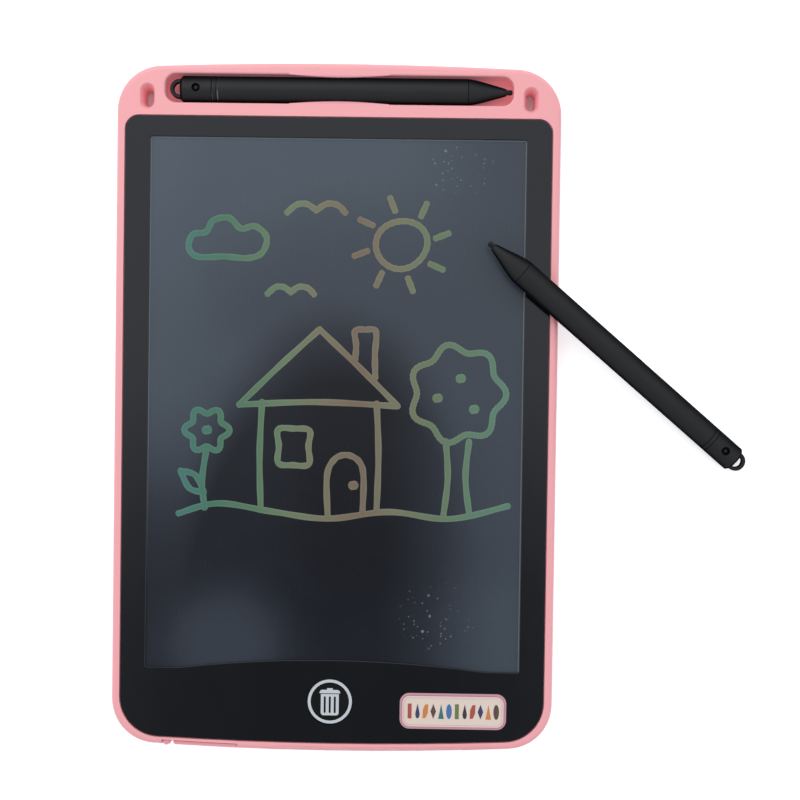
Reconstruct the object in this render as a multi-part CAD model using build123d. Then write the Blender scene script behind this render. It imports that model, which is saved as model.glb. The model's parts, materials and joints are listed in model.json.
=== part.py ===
from build123d import *
import math
import os

# An 8.5 inch class writing tablet with one stylus stowed in its trough and a second one lying
# across its right rim. Millimetres. X runs across the screen, Y towards the stylus trough and
# Z up out of the screen. The origin is the middle of the flat rear face.

# Case
case_length = 225.35
case_width = 145.0
case_thickness = 8.0
case_top_bow = 1.85
case_bottom_bow = 2.5
case_top_corner_radius = 14.7
case_bottom_corner_radius = 14.8
case_wall = 1.8
front_edge_radius = 1.7
rear_edge_radius = 2.0
rear_floor = 1.2
parting_height = 3.4
parting_groove_height = 0.3
parting_groove_depth = 0.2
tongue_thickness = 0.8
tongue_height = 1.0
tongue_break_gap = 1.5
fit_gap = 0.1
overrun = 1.0

# Black panel, its pocket and the layers under it
side_rim = 2.65
top_bar = 17.4
bottom_rim = 2.65
panel_bottom_bow = 2.0
panel_top_corner_radius = 4.7
panel_bottom_corner_radius = 13.3
panel_gap = 0.3
panel_recess = 0.2
panel_thickness = 0.6
adhesive_thickness = 0.1
adhesive_margin = 0.6
film_thickness = 0.2
crystal_thickness = 0.1
board_thickness = 1.0
screen_side_margin = 1.25
screen_top_margin = 1.1
screen_corner_radius = 3.0
ledge_width = 2.5
ledge_thickness = 1.0
bar_plate = 1.5

# Window over the screen
window_side_margin = 8.45
window_top_margin = 7.0
chin_height = 27.05
window_corner_radius = 0.5
window_edge_chamfer = 0.2
arch_height = 3.15
arch_half_span = 50.0
arch_blend_radius = 15.0
screen_below_window = 1.5

# Stylus trough, its gripping lips and the lanyard holes
trough_side_margin = 15.7
trough_width = 9.4
trough_above_panel = 8.8
trough_corner_radius = 3.6
trough_edge_round = 0.6
edge_profile_shares = ((1.0, 0.0), (0.4, 0.2), (0.1, 0.6), (0.0, 1.0))
trough_floor = 1.1
tub_wall = 0.9
lip_length = 32.6
lip_reach = 0.85
lip_top_reach = 0.6
lip_thickness = 0.75
lip_slope_depth = 0.3
lanyard_side_margin = 10.0
lanyard_below_trough = 2.8
dish_length = 8.6
dish_width = 5.0
dish_depth = 3.5
dish_profile_shares = ((1.0, 0.0), (0.5, 0.28), (0.16, 0.68), (0.0, 1.0))
lanyard_hole_length = 5.8
lanyard_hole_width = 2.9
lanyard_tube_wall = 0.9
lanyard_rear_chamfer = 0.4

# Erase button
button_below_window = 10.45
button_off_centre = -0.45
button_diameter = 15.3
button_gap = 0.15
button_flange_reach = 0.85
button_flange_thickness = 0.5
button_shell = 1.2
button_stem_diameter = 3.0
button_edge_radius = 0.1
ring_outer_diameter = 14.5
ring_inner_diameter = 12.6
print_depth = 0.15
print_proud = 0.03
bin_lid_width = 6.8
bin_lid_height = 1.15
bin_lid_corner_radius = 1.0
bin_handle_width = 1.9
bin_handle_height = 0.55
bin_body_width = 5.9
bin_body_height = 7.0
bin_body_drop = 4.55
bin_body_corner_radius = 0.9
bin_line_gap = 0.25
bin_slot_width = 0.68
bin_slot_length = 5.5
bin_slot_pitch = 1.65
bin_slot_count = 3

# Name badge
badge_width = 34.9
badge_height = 11.75
badge_corner_radius = 3.2
badge_side_margin = 32.5
badge_below_button = 2.6
badge_step = 0.75
badge_rim = 1.3
badge_base = 0.6
badge_step_proud = 0.2
badge_proud = 0.5
badge_edge_radius = 0.15
badge_plate_thickness = 0.35
badge_plate_gap = 0.05

# Main board and what is soldered to it
board_side_gap = 2.95
board_height = 17.5
circuit_thickness = 0.8
circuit_standoff = 1.2
circuit_foot_margin = 5.0
boss_inset = 2.5
boss_diameter = 4.4
peg_diameter = 3.0
screw_diameter = 1.4
screw_hole_diameter = 1.7
screw_head_diameter = 3.0
screw_head_height = 0.9
screw_reach = 2.4
screw_thread_gap = 0.02
screw_slot_width = 0.4
screw_slot_depth = 0.35
switch_width = 5.2
switch_height = 1.3
switch_wall = 0.5
switch_base = 0.3
switch_cover_thickness = 0.15
switch_cover_gap = 0.02
plunger_diameter = 2.3
plunger_hole_diameter = 2.6
plunger_foot_diameter = 3.4
plunger_foot_thickness = 0.25
button_travel = 0.3
dome_diameter = 3.8
dome_rise = 0.45
dome_thickness = 0.1
chip_length = 2.9
chip_width = 1.6
chip_height = 1.1
chip_leg_width = 0.4
chip_leg_reach = 0.6
chip_leg_thickness = 0.2
chip_leg_pitch = 0.95
chip_leg_rows = 3
inductor_width = 4.0
inductor_height = 1.8
inductor_corner_radius = 0.8
capacitor_size = (2.0, 1.25, 0.85)
resistor_size = (1.6, 0.8, 0.45)
small_part_pitch = 3.0
chip_from_left = 12.0
inductor_from_left = 6.5
tail_width = 10.0
tail_thickness = 0.15
tail_from_board_side = 10.0
tail_overlap = 3.2
tail_drop_gap = 0.6
tail_board_length = 5.0
tail_slot_gap = 0.5

# Battery drawer with its latch, its coin cell and the contacts
cell_diameter = 20.0
cell_height = 2.5
cell_wall = 0.3
cell_can_base = 0.25
cell_can_height = 2.2
cell_gasket_wall = 0.7
cell_gasket_height = 2.05
cell_joint_gap = 0.02
cell_edge_radius = 0.2
cell_setback = 1.1
cell_side_gap = 0.05
tray_side_margin = 41.45
tray_side_wall = 0.425
tray_floor = 0.7
tray_rim_height = 0.65
tray_rear_wall = 0.8
tray_post_length = 5.0
tray_post_drop = 0.05
tray_slide_gap = 0.1
tray_face_gap = 0.35
tray_end_gap = 0.3
front_depth = 1.7
front_foot = 1.0
front_top_drop = 0.7
front_end_chamfer = 0.7
slot_headroom = 0.7
slot_depth = 4.6
slot_sink = 0.1
latch_gap = 1.3
latch_width = 2.0
latch_notch = 0.5
latch_bump_radius = 0.9
latch_bump_reach = 0.1
latch_arm_thickness = 0.8
latch_arm_height = 2.8
latch_arm_length = 13.0
latch_arm_offset = 1.0
latch_root_gap = 0.1
latch_lug_length = 5.0
rail_width = 0.8
rail_height = 1.4
rail_setback = 4.8
stop_height = 1.8
contact_thickness = 0.2
contact_width = 4.0
contact_lift = 0.15
contact_dimple_radius = 0.8
contact_dimple_gap = 0.03
contact_foot = 2.6
contact_board_inset = 0.3
strip_gap = 0.06
strip_height = 1.5
strip_above_rim = 0.15
strip_length = 9.0
strip_tab_width = 2.0

# Lock switch on the rear
lock_from_board_side = 9.0
lock_above_foot = 9.0
lock_travel = 2.0
lock_recess_depth = 0.4
lock_recess_margin = 1.6
lock_knob_length = 4.4
lock_knob_width = 2.8
lock_corner_radius = 0.6
lock_slot_gap = 0.1
lock_knob_sink = 0.1
lock_groove_width = 0.4
lock_groove_depth = 0.25
lock_groove_pitch = 0.9
lock_groove_count = 3
lock_flange_length = 6.4
lock_flange_width = 4.4
lock_flange_thickness = 0.35
lock_flange_gap = 0.05
lock_prong_thickness = 0.8
lock_prong_length = 1.8
lock_prong_height = 0.6
lock_body_length = 6.7
lock_body_width = 2.7
lock_body_height = 1.12
lock_body_offset = 4.0
lever_width = 1.3
lever_length = 1.55
lever_height = 0.5
lever_gap = 0.05

# Ribs of the rear cover under the screen
rib_thickness = 1.2
rib_side_margin = 6.0
rib_end_margin = 4.5
rib_columns = 5
rib_rows = 6

# Stylus, drawn with its nib tip at the origin and its tail towards -X
stylus_width = 8.6
stylus_height = 6.6
stylus_side_share = 0.302
stylus_wall = 1.0
nib_diameter = 1.75
nib_tip_radius = 0.6
nib_length = 1.9
nib_shank_diameter = 1.3
nib_shank_length = 5.0
nose_end_width = 2.3
nose_end_height = 2.2
nose_collar_from_tip = 3.0
nose_collar_width = 2.95
nose_collar_height = 2.75
nose_middle_from_tip = 9.0
nose_middle_width = 6.3
nose_middle_height = 5.1
nose_knee_from_tip = 12.8
nose_knee_width = 8.1
nose_knee_height = 6.25
nose_length = 14.4
end_cap_length = 10.4
groove_from_seam = 1.7
groove_width = 0.35
groove_depth = 0.3
seam_gap = 0.1
seam_chamfer = 0.12
spigot_length = 4.0
spigot_gap = 0.05
cap_end_chamfer = 0.8
loop_radius = 3.2
loop_thickness = 1.3
loop_offset = 0.3
loop_height = 2.0
loop_edge_radius = 0.45
dimple_from_end = 5.3
dimple_diameter = 2.7
dimple_depth = 1.1
dimple_pip_diameter = 1.4
dimple_pip_height = 0.7
stowed_nib_gap = 0.25
stowed_tail_gap = 1.35
stowed_rest_gap = 0.05

# Where the second stylus lies
loose_side_margin = 23.45
loose_top_margin = 58.45
loose_heading = 140.0
loose_rim_gap = 0.1
loose_table_gap = 0.02

# Heights of the stack, from the front face down
panel_top = case_thickness - panel_recess
panel_foot = panel_top - panel_thickness
panel_seat = panel_foot - adhesive_thickness
crystal_top = panel_seat - film_thickness
crystal_foot = crystal_top - crystal_thickness
screen_foot = crystal_foot - film_thickness
board_seat = screen_foot - board_thickness
ledge_foot = board_seat - ledge_thickness

# Places across the front, from the case and its margins
case_half_width = case_width / 2
case_top = case_length / 2
panel_top_y = case_top - top_bar
pocket_half_width = case_half_width - side_rim
screen_half_width = pocket_half_width - screen_side_margin - fit_gap
screen_top_y = panel_top_y - screen_top_margin - fit_gap
window_half_width = pocket_half_width - window_side_margin
window_top_y = panel_top_y - window_top_margin
window_foot_y = -case_top + chin_height
screen_foot_y = window_foot_y - screen_below_window
web_edge_y = screen_foot_y - fit_gap
button_y = window_foot_y - button_below_window
button_x = button_off_centre
badge_x = case_half_width - badge_side_margin
badge_y = button_y - badge_below_button
trough_y = panel_top_y + trough_above_panel
trough_length = 2 * (case_half_width - trough_side_margin)
lanyard_x = case_half_width - lanyard_side_margin
lanyard_y = trough_y - lanyard_below_trough
trough_foot = rear_floor + trough_floor
stylus_axis_height = trough_foot + stowed_rest_gap + stylus_height / 2

# Heights and places of the main board
circuit_foot = rear_floor + circuit_standoff
circuit_top = circuit_foot + circuit_thickness
circuit_low_y = -case_top + circuit_foot_margin
circuit_high_y = circuit_low_y + board_height
plunger_top = circuit_top + switch_height + button_travel
button_flange_top = board_seat - fit_gap
button_flange_foot = button_flange_top - button_flange_thickness

# Heights and places of the battery drawer
cell_radius = cell_diameter / 2
tray_right = -case_half_width + tray_side_margin
tray_left = tray_right - cell_diameter - 2 * tray_side_wall
cell_x = (tray_left + tray_right) / 2
cell_y = -case_top + front_depth + cell_setback + cell_radius
tray_foot = rear_floor + tray_slide_gap
cell_foot = tray_foot + tray_floor
cell_top = cell_foot + cell_height
tray_rim_top = cell_foot + tray_rim_height
tray_rear_y = cell_y + cell_radius + cell_side_gap + tray_rear_wall
slot_top = cell_top + slot_headroom
latch_right = tray_left - latch_gap
latch_left = latch_right - latch_width
slot_left = latch_left - latch_notch
slot_right = tray_right + tray_end_gap
arm_left = tray_left - latch_arm_offset - latch_arm_thickness
front_top = case_thickness - front_top_drop

# Places of the main board between its neighbours, and of what lines up with it
circuit_left = slot_right + rail_width + board_side_gap
tail_x = -circuit_left - tail_from_board_side
lock_x = -circuit_left - lock_from_board_side
lock_slider_y = -case_top + lock_above_foot

# Lengths and places of the styluses
loop_reach = loop_offset + loop_radius
cap_end = trough_length - stowed_nib_gap - stowed_tail_gap - loop_reach
barrel_end = cap_end - end_cap_length
barrel_groove = barrel_end - groove_from_seam
dimple_from_tip = cap_end - dimple_from_end
loose_tip_x = case_half_width - loose_side_margin
loose_tip_y = case_top - loose_top_margin


def block(x_low, x_high, y_low, y_high, z_low, z_high):
    """A box between six faces."""
    corner = Pos(x_low, y_low, z_low)
    return corner * Box(x_high - x_low, y_high - y_low, z_high - z_low, align=(Align.MIN,) * 3)


def disc(x, y, z_low, z_high, diameter):
    """An upright cylinder between two heights."""
    base = (Align.CENTER, Align.CENTER, Align.MIN)
    return Pos(x, y, z_low) * Cylinder(diameter / 2, z_high - z_low, align=base)


def slab(plan, z_low, z_high):
    """A plan raised between two heights."""
    return Pos(0, 0, z_low) * extrude(plan, z_high - z_low, dir=(0, 0, 1))


def rounded_slab(x, y, z_low, z_high, width, height, radius):
    """An upright block with rounded corners between two heights."""
    return slab(Pos(x, y) * RectangleRounded(width, height, radius), z_low, z_high)


def end_edge(left, right, middle_y):
    """One end of a plan, bowed through its middle or straight."""
    if left[1] == middle_y:
        return Line(left, right)
    return ThreePointArc(left, (0, middle_y), right)


def bowed_plan(half_width, top, top_bow, top_radius, foot, foot_bow, foot_radius):
    """A plan with straight sides, bowed ends and rounded corners."""
    top_left = (-half_width, top - top_bow)
    top_right = (half_width, top - top_bow)
    foot_left = (-half_width, foot + foot_bow)
    foot_right = (half_width, foot + foot_bow)
    edges = [
        Line(foot_left, top_left),
        end_edge(top_left, top_right, top),
        Line(top_right, foot_right),
        end_edge(foot_right, foot_left, foot),
    ]
    plan = make_face(edges)
    plan = fillet(plan.vertices().sort_by(Axis.Y)[-2:], top_radius)
    return fillet(plan.vertices().sort_by(Axis.Y)[:2], foot_radius)


def case_plan(inset=0):
    """The outline of the tablet from the front, drawn in by an inset."""
    bow_share = ((case_half_width - inset) / case_half_width) ** 2
    return bowed_plan(
        case_half_width - inset,
        case_top - inset,
        case_top_bow * bow_share,
        case_top_corner_radius - inset,
        -case_top + inset,
        case_bottom_bow * bow_share,
        case_bottom_corner_radius - inset,
    )


def panel_plan(inset=0):
    """The outline of the pocket for the black panel, drawn in by an inset."""
    return bowed_plan(
        pocket_half_width - inset,
        panel_top_y - inset,
        0,
        panel_top_corner_radius - inset,
        -case_top + bottom_rim + inset,
        panel_bottom_bow,
        panel_bottom_corner_radius - inset,
    )


def window_plan(grow=0):
    """The window in the black panel, with its arched foot, drawn out by a margin."""
    half_width = window_half_width + grow
    top = window_top_y + grow
    foot = window_foot_y - grow
    edges = [
        Line((-half_width, foot), (-half_width, top)),
        Line((-half_width, top), (half_width, top)),
        Line((half_width, top), (half_width, foot)),
        Line((half_width, foot), (arch_half_span, foot)),
        ThreePointArc((arch_half_span, foot), (0, foot + arch_height), (-arch_half_span, foot)),
        Line((-arch_half_span, foot), (-half_width, foot)),
    ]
    plan = make_face(edges)
    across = plan.vertices().sort_by(Axis.X)
    plan = fillet(across[:2] + across[-2:], window_corner_radius)
    shoulders = [v for v in plan.vertices() if math.isclose(abs(v.X), arch_half_span)]
    return fillet(shoulders, arch_blend_radius)


def screen_slab(z_low, z_high, grow=0):
    """A sheet of the screen's own outline between two heights."""
    width = 2 * (screen_half_width + grow)
    length = screen_top_y - screen_foot_y + 2 * grow
    middle = (screen_top_y + screen_foot_y) / 2
    return rounded_slab(0, middle, z_low, z_high, width, length, screen_corner_radius + grow)


def case_envelope():
    """The whole case as one solid, rounded along both edges, with a fine groove at the parting."""
    solid = slab(case_plan(), 0, case_thickness)
    solid = fillet(solid.faces().sort_by(Axis.Z)[-1].edges(), front_edge_radius)
    solid = fillet(solid.faces().sort_by(Axis.Z)[0].edges(), rear_edge_radius)
    low = parting_height - parting_groove_height / 2
    high = parting_height + parting_groove_height / 2
    groove = slab(case_plan(-overrun), low, high) - slab(case_plan(parting_groove_depth), 0, case_thickness)
    return solid - groove


def lanyard_slot(length, width):
    """The plan of one oval of the lanyard holes, long way along Y."""
    return SlotOverall(length, width, rotation=90)


def lanyard_places():
    """The middles of the two lanyard holes."""
    return [(side * lanyard_x, lanyard_y) for side in (-1, 1)]


def lanyard_cut(x, y):
    """The rounded dish and the hole under it."""
    levels = []
    for depth_share, grow_share in dish_profile_shares:
        length = lanyard_hole_length + (dish_length - lanyard_hole_length) * grow_share
        width = lanyard_hole_width + (dish_width - lanyard_hole_width) * grow_share
        levels.append(Pos(x, y, case_thickness - dish_depth * depth_share) * lanyard_slot(length, width))
    hole = slab(Pos(x, y) * lanyard_slot(lanyard_hole_length, lanyard_hole_width), -overrun, case_thickness)
    return loft(levels, ruled=True) + hole


def drawer_slot(z_low, z_high):
    """The way that the battery drawer slides through, with the bite at the outer edge."""
    outside = -case_top - overrun
    way_foot = max(z_low, rear_floor - slot_sink)
    way = block(slot_left, slot_right, outside, -case_top + slot_depth, way_foot, min(z_high, slot_top))
    bite_back = -case_top + case_bottom_corner_radius
    bite = block(slot_left, slot_right, outside, bite_back, max(z_low, front_foot - fit_gap), z_high)
    return way + (bite - slab(case_plan(front_depth), 0, case_thickness + overrun))


def screen_tail_slot(z_low, z_high):
    """The notch that lets the screen's tail down to the main board."""
    half = tail_width / 2 + tail_slot_gap
    foot = web_edge_y - tail_drop_gap - tail_thickness - tail_slot_gap
    return block(tail_x - half, tail_x + half, foot, web_edge_y, z_low, z_high)


def badge_slab(z_low, z_high, grow=0):
    """The badge's outline between two heights, drawn out by a margin."""
    width = badge_width + 2 * grow
    height = badge_height + 2 * grow
    return rounded_slab(badge_x, badge_y, z_low, z_high, width, height, badge_corner_radius + grow)


def trough_slab(z_low, z_high, grow=0):
    """The trough's outline between two heights, drawn out by a wall."""
    length = trough_length + 2 * grow
    width = trough_width + 2 * grow
    return rounded_slab(0, trough_y, z_low, z_high, length, width, trough_corner_radius + grow)


def trough_round():
    """The rounding along the trough's upper edge, at both ends as far as the gripping lips."""
    levels = []
    for depth_share, grow_share in edge_profile_shares:
        grow = trough_edge_round * grow_share
        radius = trough_corner_radius + grow
        plan = RectangleRounded(trough_length + 2 * grow, trough_width + 2 * grow, radius)
        levels.append(Pos(0, trough_y, case_thickness - trough_edge_round * depth_share) * plan)
    half = lip_length / 2
    far = case_top + overrun
    return loft(levels, ruled=True) - block(-half, half, 0, far, 0, case_thickness + overrun)


def front_frame(envelope):
    """The front shell: rim, panel pocket, screen ledges, stylus trough and lower web."""
    far = case_top + overrun
    wide = case_half_width + overrun
    frame = envelope & block(-wide, wide, -far, far, parting_height, case_thickness + overrun)
    frame -= slab(panel_plan(), panel_seat, case_thickness + overrun)
    frame -= screen_slab(board_seat, case_thickness, fit_gap)
    frame -= block(
        -screen_half_width + ledge_width,
        screen_half_width - ledge_width,
        web_edge_y,
        screen_top_y - ledge_width,
        0,
        case_thickness,
    )
    hollow = case_plan(case_wall)
    frame -= slab(hollow, 0, ledge_foot)
    frame -= slab(hollow, 0, board_seat) & block(-wide, wide, -far, web_edge_y, 0, case_thickness)
    bar_hollow_foot = panel_top_y + ledge_width
    frame -= slab(hollow, 0, case_thickness - bar_plate) & block(
        -wide, wide, bar_hollow_foot, far, 0, case_thickness
    )
    frame += trough_slab(rear_floor, case_thickness - bar_plate / 2, tub_wall)
    for x, y in lanyard_places():
        tube = Pos(x, y) * lanyard_slot(
            lanyard_hole_length + 2 * lanyard_tube_wall, lanyard_hole_width + 2 * lanyard_tube_wall
        )
        frame += slab(tube, rear_floor, case_thickness - bar_plate / 2)
    frame -= trough_slab(trough_foot, case_thickness + overrun)
    frame -= trough_round()
    for x, y in lanyard_places():
        frame -= lanyard_cut(x, y)
    button_hole_diameter = button_diameter + 2 * button_gap
    frame -= disc(button_x, button_y, board_seat - overrun, case_thickness, button_hole_diameter)
    frame -= screen_tail_slot(board_seat - overrun, panel_seat)
    return frame - drawer_slot(parting_height - overrun, case_thickness + overrun)


def rib_zone_ribs():
    """The lattice of ribs that carries the backing board."""
    left = -screen_half_width + ledge_width + rib_side_margin
    low = screen_foot_y + rib_end_margin
    high = screen_top_y - ledge_width - rib_end_margin
    half = rib_thickness / 2
    ribs = []
    for column in range(rib_columns):
        x = left - 2 * left * column / (rib_columns - 1)
        ribs.append(block(x - half, x + half, low - half, high + half, rear_floor, board_seat))
    for row in range(rib_rows):
        y = low + (high - low) * row / (rib_rows - 1)
        ribs.append(block(left - half, -left + half, y - half, y + half, rear_floor, board_seat))
    return ribs


def boss_places():
    """The two screwed corners of the main board."""
    y = circuit_low_y + boss_inset
    return [(side * (circuit_left + boss_inset), y) for side in (1, -1)]


def peg_places():
    """The two corners of the main board that only rest."""
    y = circuit_high_y - boss_inset
    return [(side * (circuit_left + boss_inset), y) for side in (1, -1)]


def drawer_rails():
    """The two rails beside the battery drawer and the stop behind it."""
    front = -case_top + rail_setback
    top = rear_floor + rail_height
    left_rail_edge = arm_left - tray_slide_gap
    return [
        block(slot_right, slot_right + rail_width, front, tray_rear_y, rear_floor, top),
        block(left_rail_edge - rail_width, left_rail_edge, front, tray_rear_y, rear_floor, top),
        block(
            tray_left,
            tray_right,
            tray_rear_y + tray_slide_gap,
            tray_rear_y + tray_slide_gap + rail_width,
            rear_floor,
            rear_floor + stop_height,
        ),
    ]


def lock_window():
    """The recess in the rear face and the slot through it for the lock slider."""
    slot_length = lock_knob_length + lock_travel + 2 * lock_slot_gap
    slot_width = lock_knob_width + 2 * lock_slot_gap
    recess_length = slot_length + 2 * lock_recess_margin
    recess_width = slot_width + 2 * lock_recess_margin
    place = Pos(lock_x, lock_slider_y)
    recess = slab(place * SlotOverall(recess_length, recess_width), -overrun, lock_recess_depth)
    radius = lock_corner_radius + lock_slot_gap
    slot = slab(place * RectangleRounded(slot_length, slot_width, radius), 0, rear_floor + overrun)
    return recess + slot


def rear_cover(envelope):
    """The rear shell: flat back, wall, tongue, ribs, bosses and drawer rails."""
    far = case_top + overrun
    wide = case_half_width + overrun
    cover = envelope & block(-wide, wide, -far, far, -overrun, parting_height)
    cover -= slab(case_plan(case_wall), rear_floor, case_thickness)
    tongue_outer = case_plan(case_wall + fit_gap)
    tongue_inner = case_plan(case_wall + fit_gap + tongue_thickness)
    tongue = slab(tongue_outer, rear_floor, parting_height + tongue_height)
    tongue -= slab(tongue_inner, 0, case_thickness)
    break_x = trough_length / 2 + tub_wall + tongue_break_gap
    cover += tongue - block(-break_x, break_x, trough_y, far, 0, case_thickness)
    for rib in rib_zone_ribs() + drawer_rails():
        cover += rib
    for x, y in boss_places():
        cover += disc(x, y, rear_floor, circuit_foot, boss_diameter)
    for x, y in peg_places():
        cover += disc(x, y, rear_floor, circuit_foot, peg_diameter)
    for x, y in boss_places():
        hole = screw_diameter + 2 * screw_thread_gap
        cover -= disc(x, y, circuit_top - screw_reach - fit_gap, circuit_foot + overrun, hole)
    cover -= trough_slab(rear_floor, case_thickness, tub_wall + fit_gap)
    for x, y in lanyard_places():
        hole = lanyard_slot(lanyard_hole_length, lanyard_hole_width)
        cover -= slab(Pos(x, y) * hole, -overrun, rear_floor)
        flare = loft(
            [
                Pos(x, y, lanyard_rear_chamfer) * lanyard_slot(lanyard_hole_length, lanyard_hole_width),
                Pos(x, y, 0)
                * lanyard_slot(
                    lanyard_hole_length + 2 * lanyard_rear_chamfer,
                    lanyard_hole_width + 2 * lanyard_rear_chamfer,
                ),
            ],
            ruled=True,
        )
        cover -= flare
    cover -= lock_window()
    return cover - drawer_slot(0, parting_height + tongue_height + overrun)


def lip_plan(side, reach, height):
    """One gripping lip at a height, a shallow bow on the trough's wall."""
    wall_y = trough_y + side * trough_width / 2
    start = (-lip_length / 2, wall_y)
    end = (lip_length / 2, wall_y)
    plan = make_face([ThreePointArc(start, (0, wall_y - side * reach), end), Line(end, start)])
    return Pos(0, 0, height) * plan


def stylus_grip_lips():
    """The two lips that flex as the stylus is pressed in or pulled out."""
    lips = []
    for side in (-1, 1):
        foot = lip_plan(side, lip_reach, case_thickness - lip_thickness)
        brow = lip_plan(side, lip_reach, case_thickness - lip_slope_depth)
        top = lip_plan(side, lip_top_reach, case_thickness)
        lips.append(loft([foot, brow, top], ruled=True))
    return Compound(children=lips)


def bezel_panel():
    """The black panel, with its bevelled window and the holes for the button and the badge."""
    panel = slab(panel_plan(panel_gap), panel_foot, panel_top)
    panel -= slab(window_plan(), 0, case_thickness)
    rim = panel.faces().sort_by(Axis.Z)[-1].inner_wires()[0]
    panel = chamfer(rim.edges(), window_edge_chamfer)
    panel -= disc(button_x, button_y, 0, case_thickness, button_diameter + 2 * button_gap)
    return panel - badge_slab(0, case_thickness, fit_gap)


def bezel_adhesive():
    """The thin adhesive sheet that bonds the black panel down."""
    sheet = slab(panel_plan(panel_gap + adhesive_margin), panel_seat, panel_foot)
    sheet -= slab(window_plan(adhesive_margin), 0, case_thickness)
    sheet -= disc(button_x, button_y, 0, case_thickness, button_diameter + 2 * adhesive_margin)
    return sheet - badge_slab(0, case_thickness, adhesive_margin)


def backing_board():
    """The stiff board behind the screen, notched for the tail."""
    board = screen_slab(board_seat, screen_foot)
    half = tail_width / 2 + tail_slot_gap
    notch_top = screen_foot_y + tail_overlap + tail_slot_gap
    return board - block(
        tail_x - half, tail_x + half, screen_foot_y - overrun, notch_top, 0, case_thickness
    )


def screen_tail():
    """The thin tail from under the screen down to the main board."""
    left = tail_x - tail_width / 2
    right = tail_x + tail_width / 2
    drop_y = web_edge_y - tail_drop_gap
    under_screen = block(
        left, right, drop_y, screen_foot_y + tail_overlap, screen_foot - tail_thickness, screen_foot
    )
    drop = block(left, right, drop_y - tail_thickness, drop_y, circuit_top, screen_foot)
    on_board = block(
        left, right, drop_y - tail_board_length, drop_y, circuit_top, circuit_top + tail_thickness
    )
    return under_screen + drop + on_board


def main_board():
    """The circuit board, with the clearance holes for its two screws."""
    board = block(circuit_left, -circuit_left, circuit_low_y, circuit_high_y, circuit_foot, circuit_top)
    for x, y in boss_places():
        board -= disc(x, y, 0, case_thickness, screw_hole_diameter)
    return board


def board_screws():
    """The two slotted screws of the main board."""
    screws = []
    for x, y in boss_places():
        head_top = circuit_top + screw_head_height
        head = disc(x, y, circuit_top, head_top, screw_head_diameter)
        shank = disc(x, y, circuit_top - screw_reach, circuit_top, screw_diameter)
        half_length = screw_head_diameter / 2 + screw_slot_width
        half_width = screw_slot_width / 2
        slot = block(
            x - half_length,
            x + half_length,
            y - half_width,
            y + half_width,
            head_top - screw_slot_depth,
            head_top + overrun,
        )
        screws.append(head + shank - slot)
    return Compound(children=screws)


def switch_square(half, z_low, z_high):
    """A square of the push switch under the button, between two heights."""
    return block(button_x - half, button_x + half, button_y - half, button_y + half, z_low, z_high)


def switch_housing():
    """The open plastic box of the push switch under the erase button."""
    half = switch_width / 2
    box = switch_square(half, circuit_top, circuit_top + switch_height - switch_cover_thickness)
    return box - switch_square(half - switch_wall, circuit_top + switch_base, case_thickness)


def switch_cover():
    """The thin metal plate over the push switch."""
    top = circuit_top + switch_height
    plate = switch_square(switch_width / 2, top - switch_cover_thickness, top)
    return plate - disc(button_x, button_y, 0, case_thickness, plunger_hole_diameter)


def switch_plunger():
    """The plunger of the push switch, with the foot that keeps it in."""
    foot_top = circuit_top + switch_height - switch_cover_thickness - switch_cover_gap
    foot = disc(button_x, button_y, foot_top - plunger_foot_thickness, foot_top, plunger_foot_diameter)
    return foot + disc(button_x, button_y, foot_top - plunger_foot_thickness, plunger_top, plunger_diameter)


def switch_dome():
    """The snap dome that pushes the plunger back."""
    base = circuit_top + switch_base
    half = dome_diameter / 2
    outer_radius = (half**2 + dome_rise**2) / (2 * dome_rise)
    centre = Pos(button_x, button_y, base + dome_rise - outer_radius)
    shell = centre * Sphere(outer_radius) - centre * Sphere(outer_radius - dome_thickness)
    return shell & disc(button_x, button_y, base, base + dome_rise + overrun, dome_diameter)


def boost_chip():
    """The driver chip with its legs."""
    x = circuit_left + chip_from_left
    y = button_y
    half_length = chip_length / 2
    half_width = chip_width / 2
    chip = block(
        x - half_length, x + half_length, y - half_width, y + half_width, circuit_top, circuit_top + chip_height
    )
    for row in range(chip_leg_rows):
        leg_x = x + (row - (chip_leg_rows - 1) / 2) * chip_leg_pitch
        reach = half_width + chip_leg_reach
        chip += block(
            leg_x - chip_leg_width / 2,
            leg_x + chip_leg_width / 2,
            y - reach,
            y + reach,
            circuit_top,
            circuit_top + chip_leg_thickness,
        )
    return chip


def power_inductor():
    """The shielded coil of the driver."""
    x = circuit_left + inductor_from_left
    return rounded_slab(
        x,
        button_y,
        circuit_top,
        circuit_top + inductor_height,
        inductor_width,
        inductor_width,
        inductor_corner_radius,
    )


def small_parts(size, columns, y):
    """A row of small soldered parts, as separate solids."""
    length, width, height = size
    row = []
    for column in columns:
        x = circuit_left + chip_from_left + column * small_part_pitch
        row.append(
            block(
                x - length / 2,
                x + length / 2,
                y - width / 2,
                y + width / 2,
                circuit_top,
                circuit_top + height,
            )
        )
    return Compound(children=row)


def button_disc(z_low, z_high, diameter):
    """A round of the erase button between two heights."""
    return disc(button_x, button_y, z_low, z_high, diameter)


def erase_button_cap():
    """The round button cap, hollow from behind, with its retaining flange and stem."""
    cap = button_disc(button_flange_foot, panel_top, button_diameter)
    cap = fillet(cap.faces().sort_by(Axis.Z)[-1].edges(), button_edge_radius)
    flange_diameter = button_diameter + 2 * (button_gap + button_flange_reach)
    cap += button_disc(button_flange_foot, button_flange_top, flange_diameter)
    cap -= button_disc(0, panel_top - button_shell, button_diameter - 2 * button_shell)
    cap += button_disc(plunger_top + switch_cover_gap, panel_top - button_shell, button_stem_diameter)
    ring = erase_ring(print_depth)
    icon = erase_icon(print_depth)
    return cap - ring - icon


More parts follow.
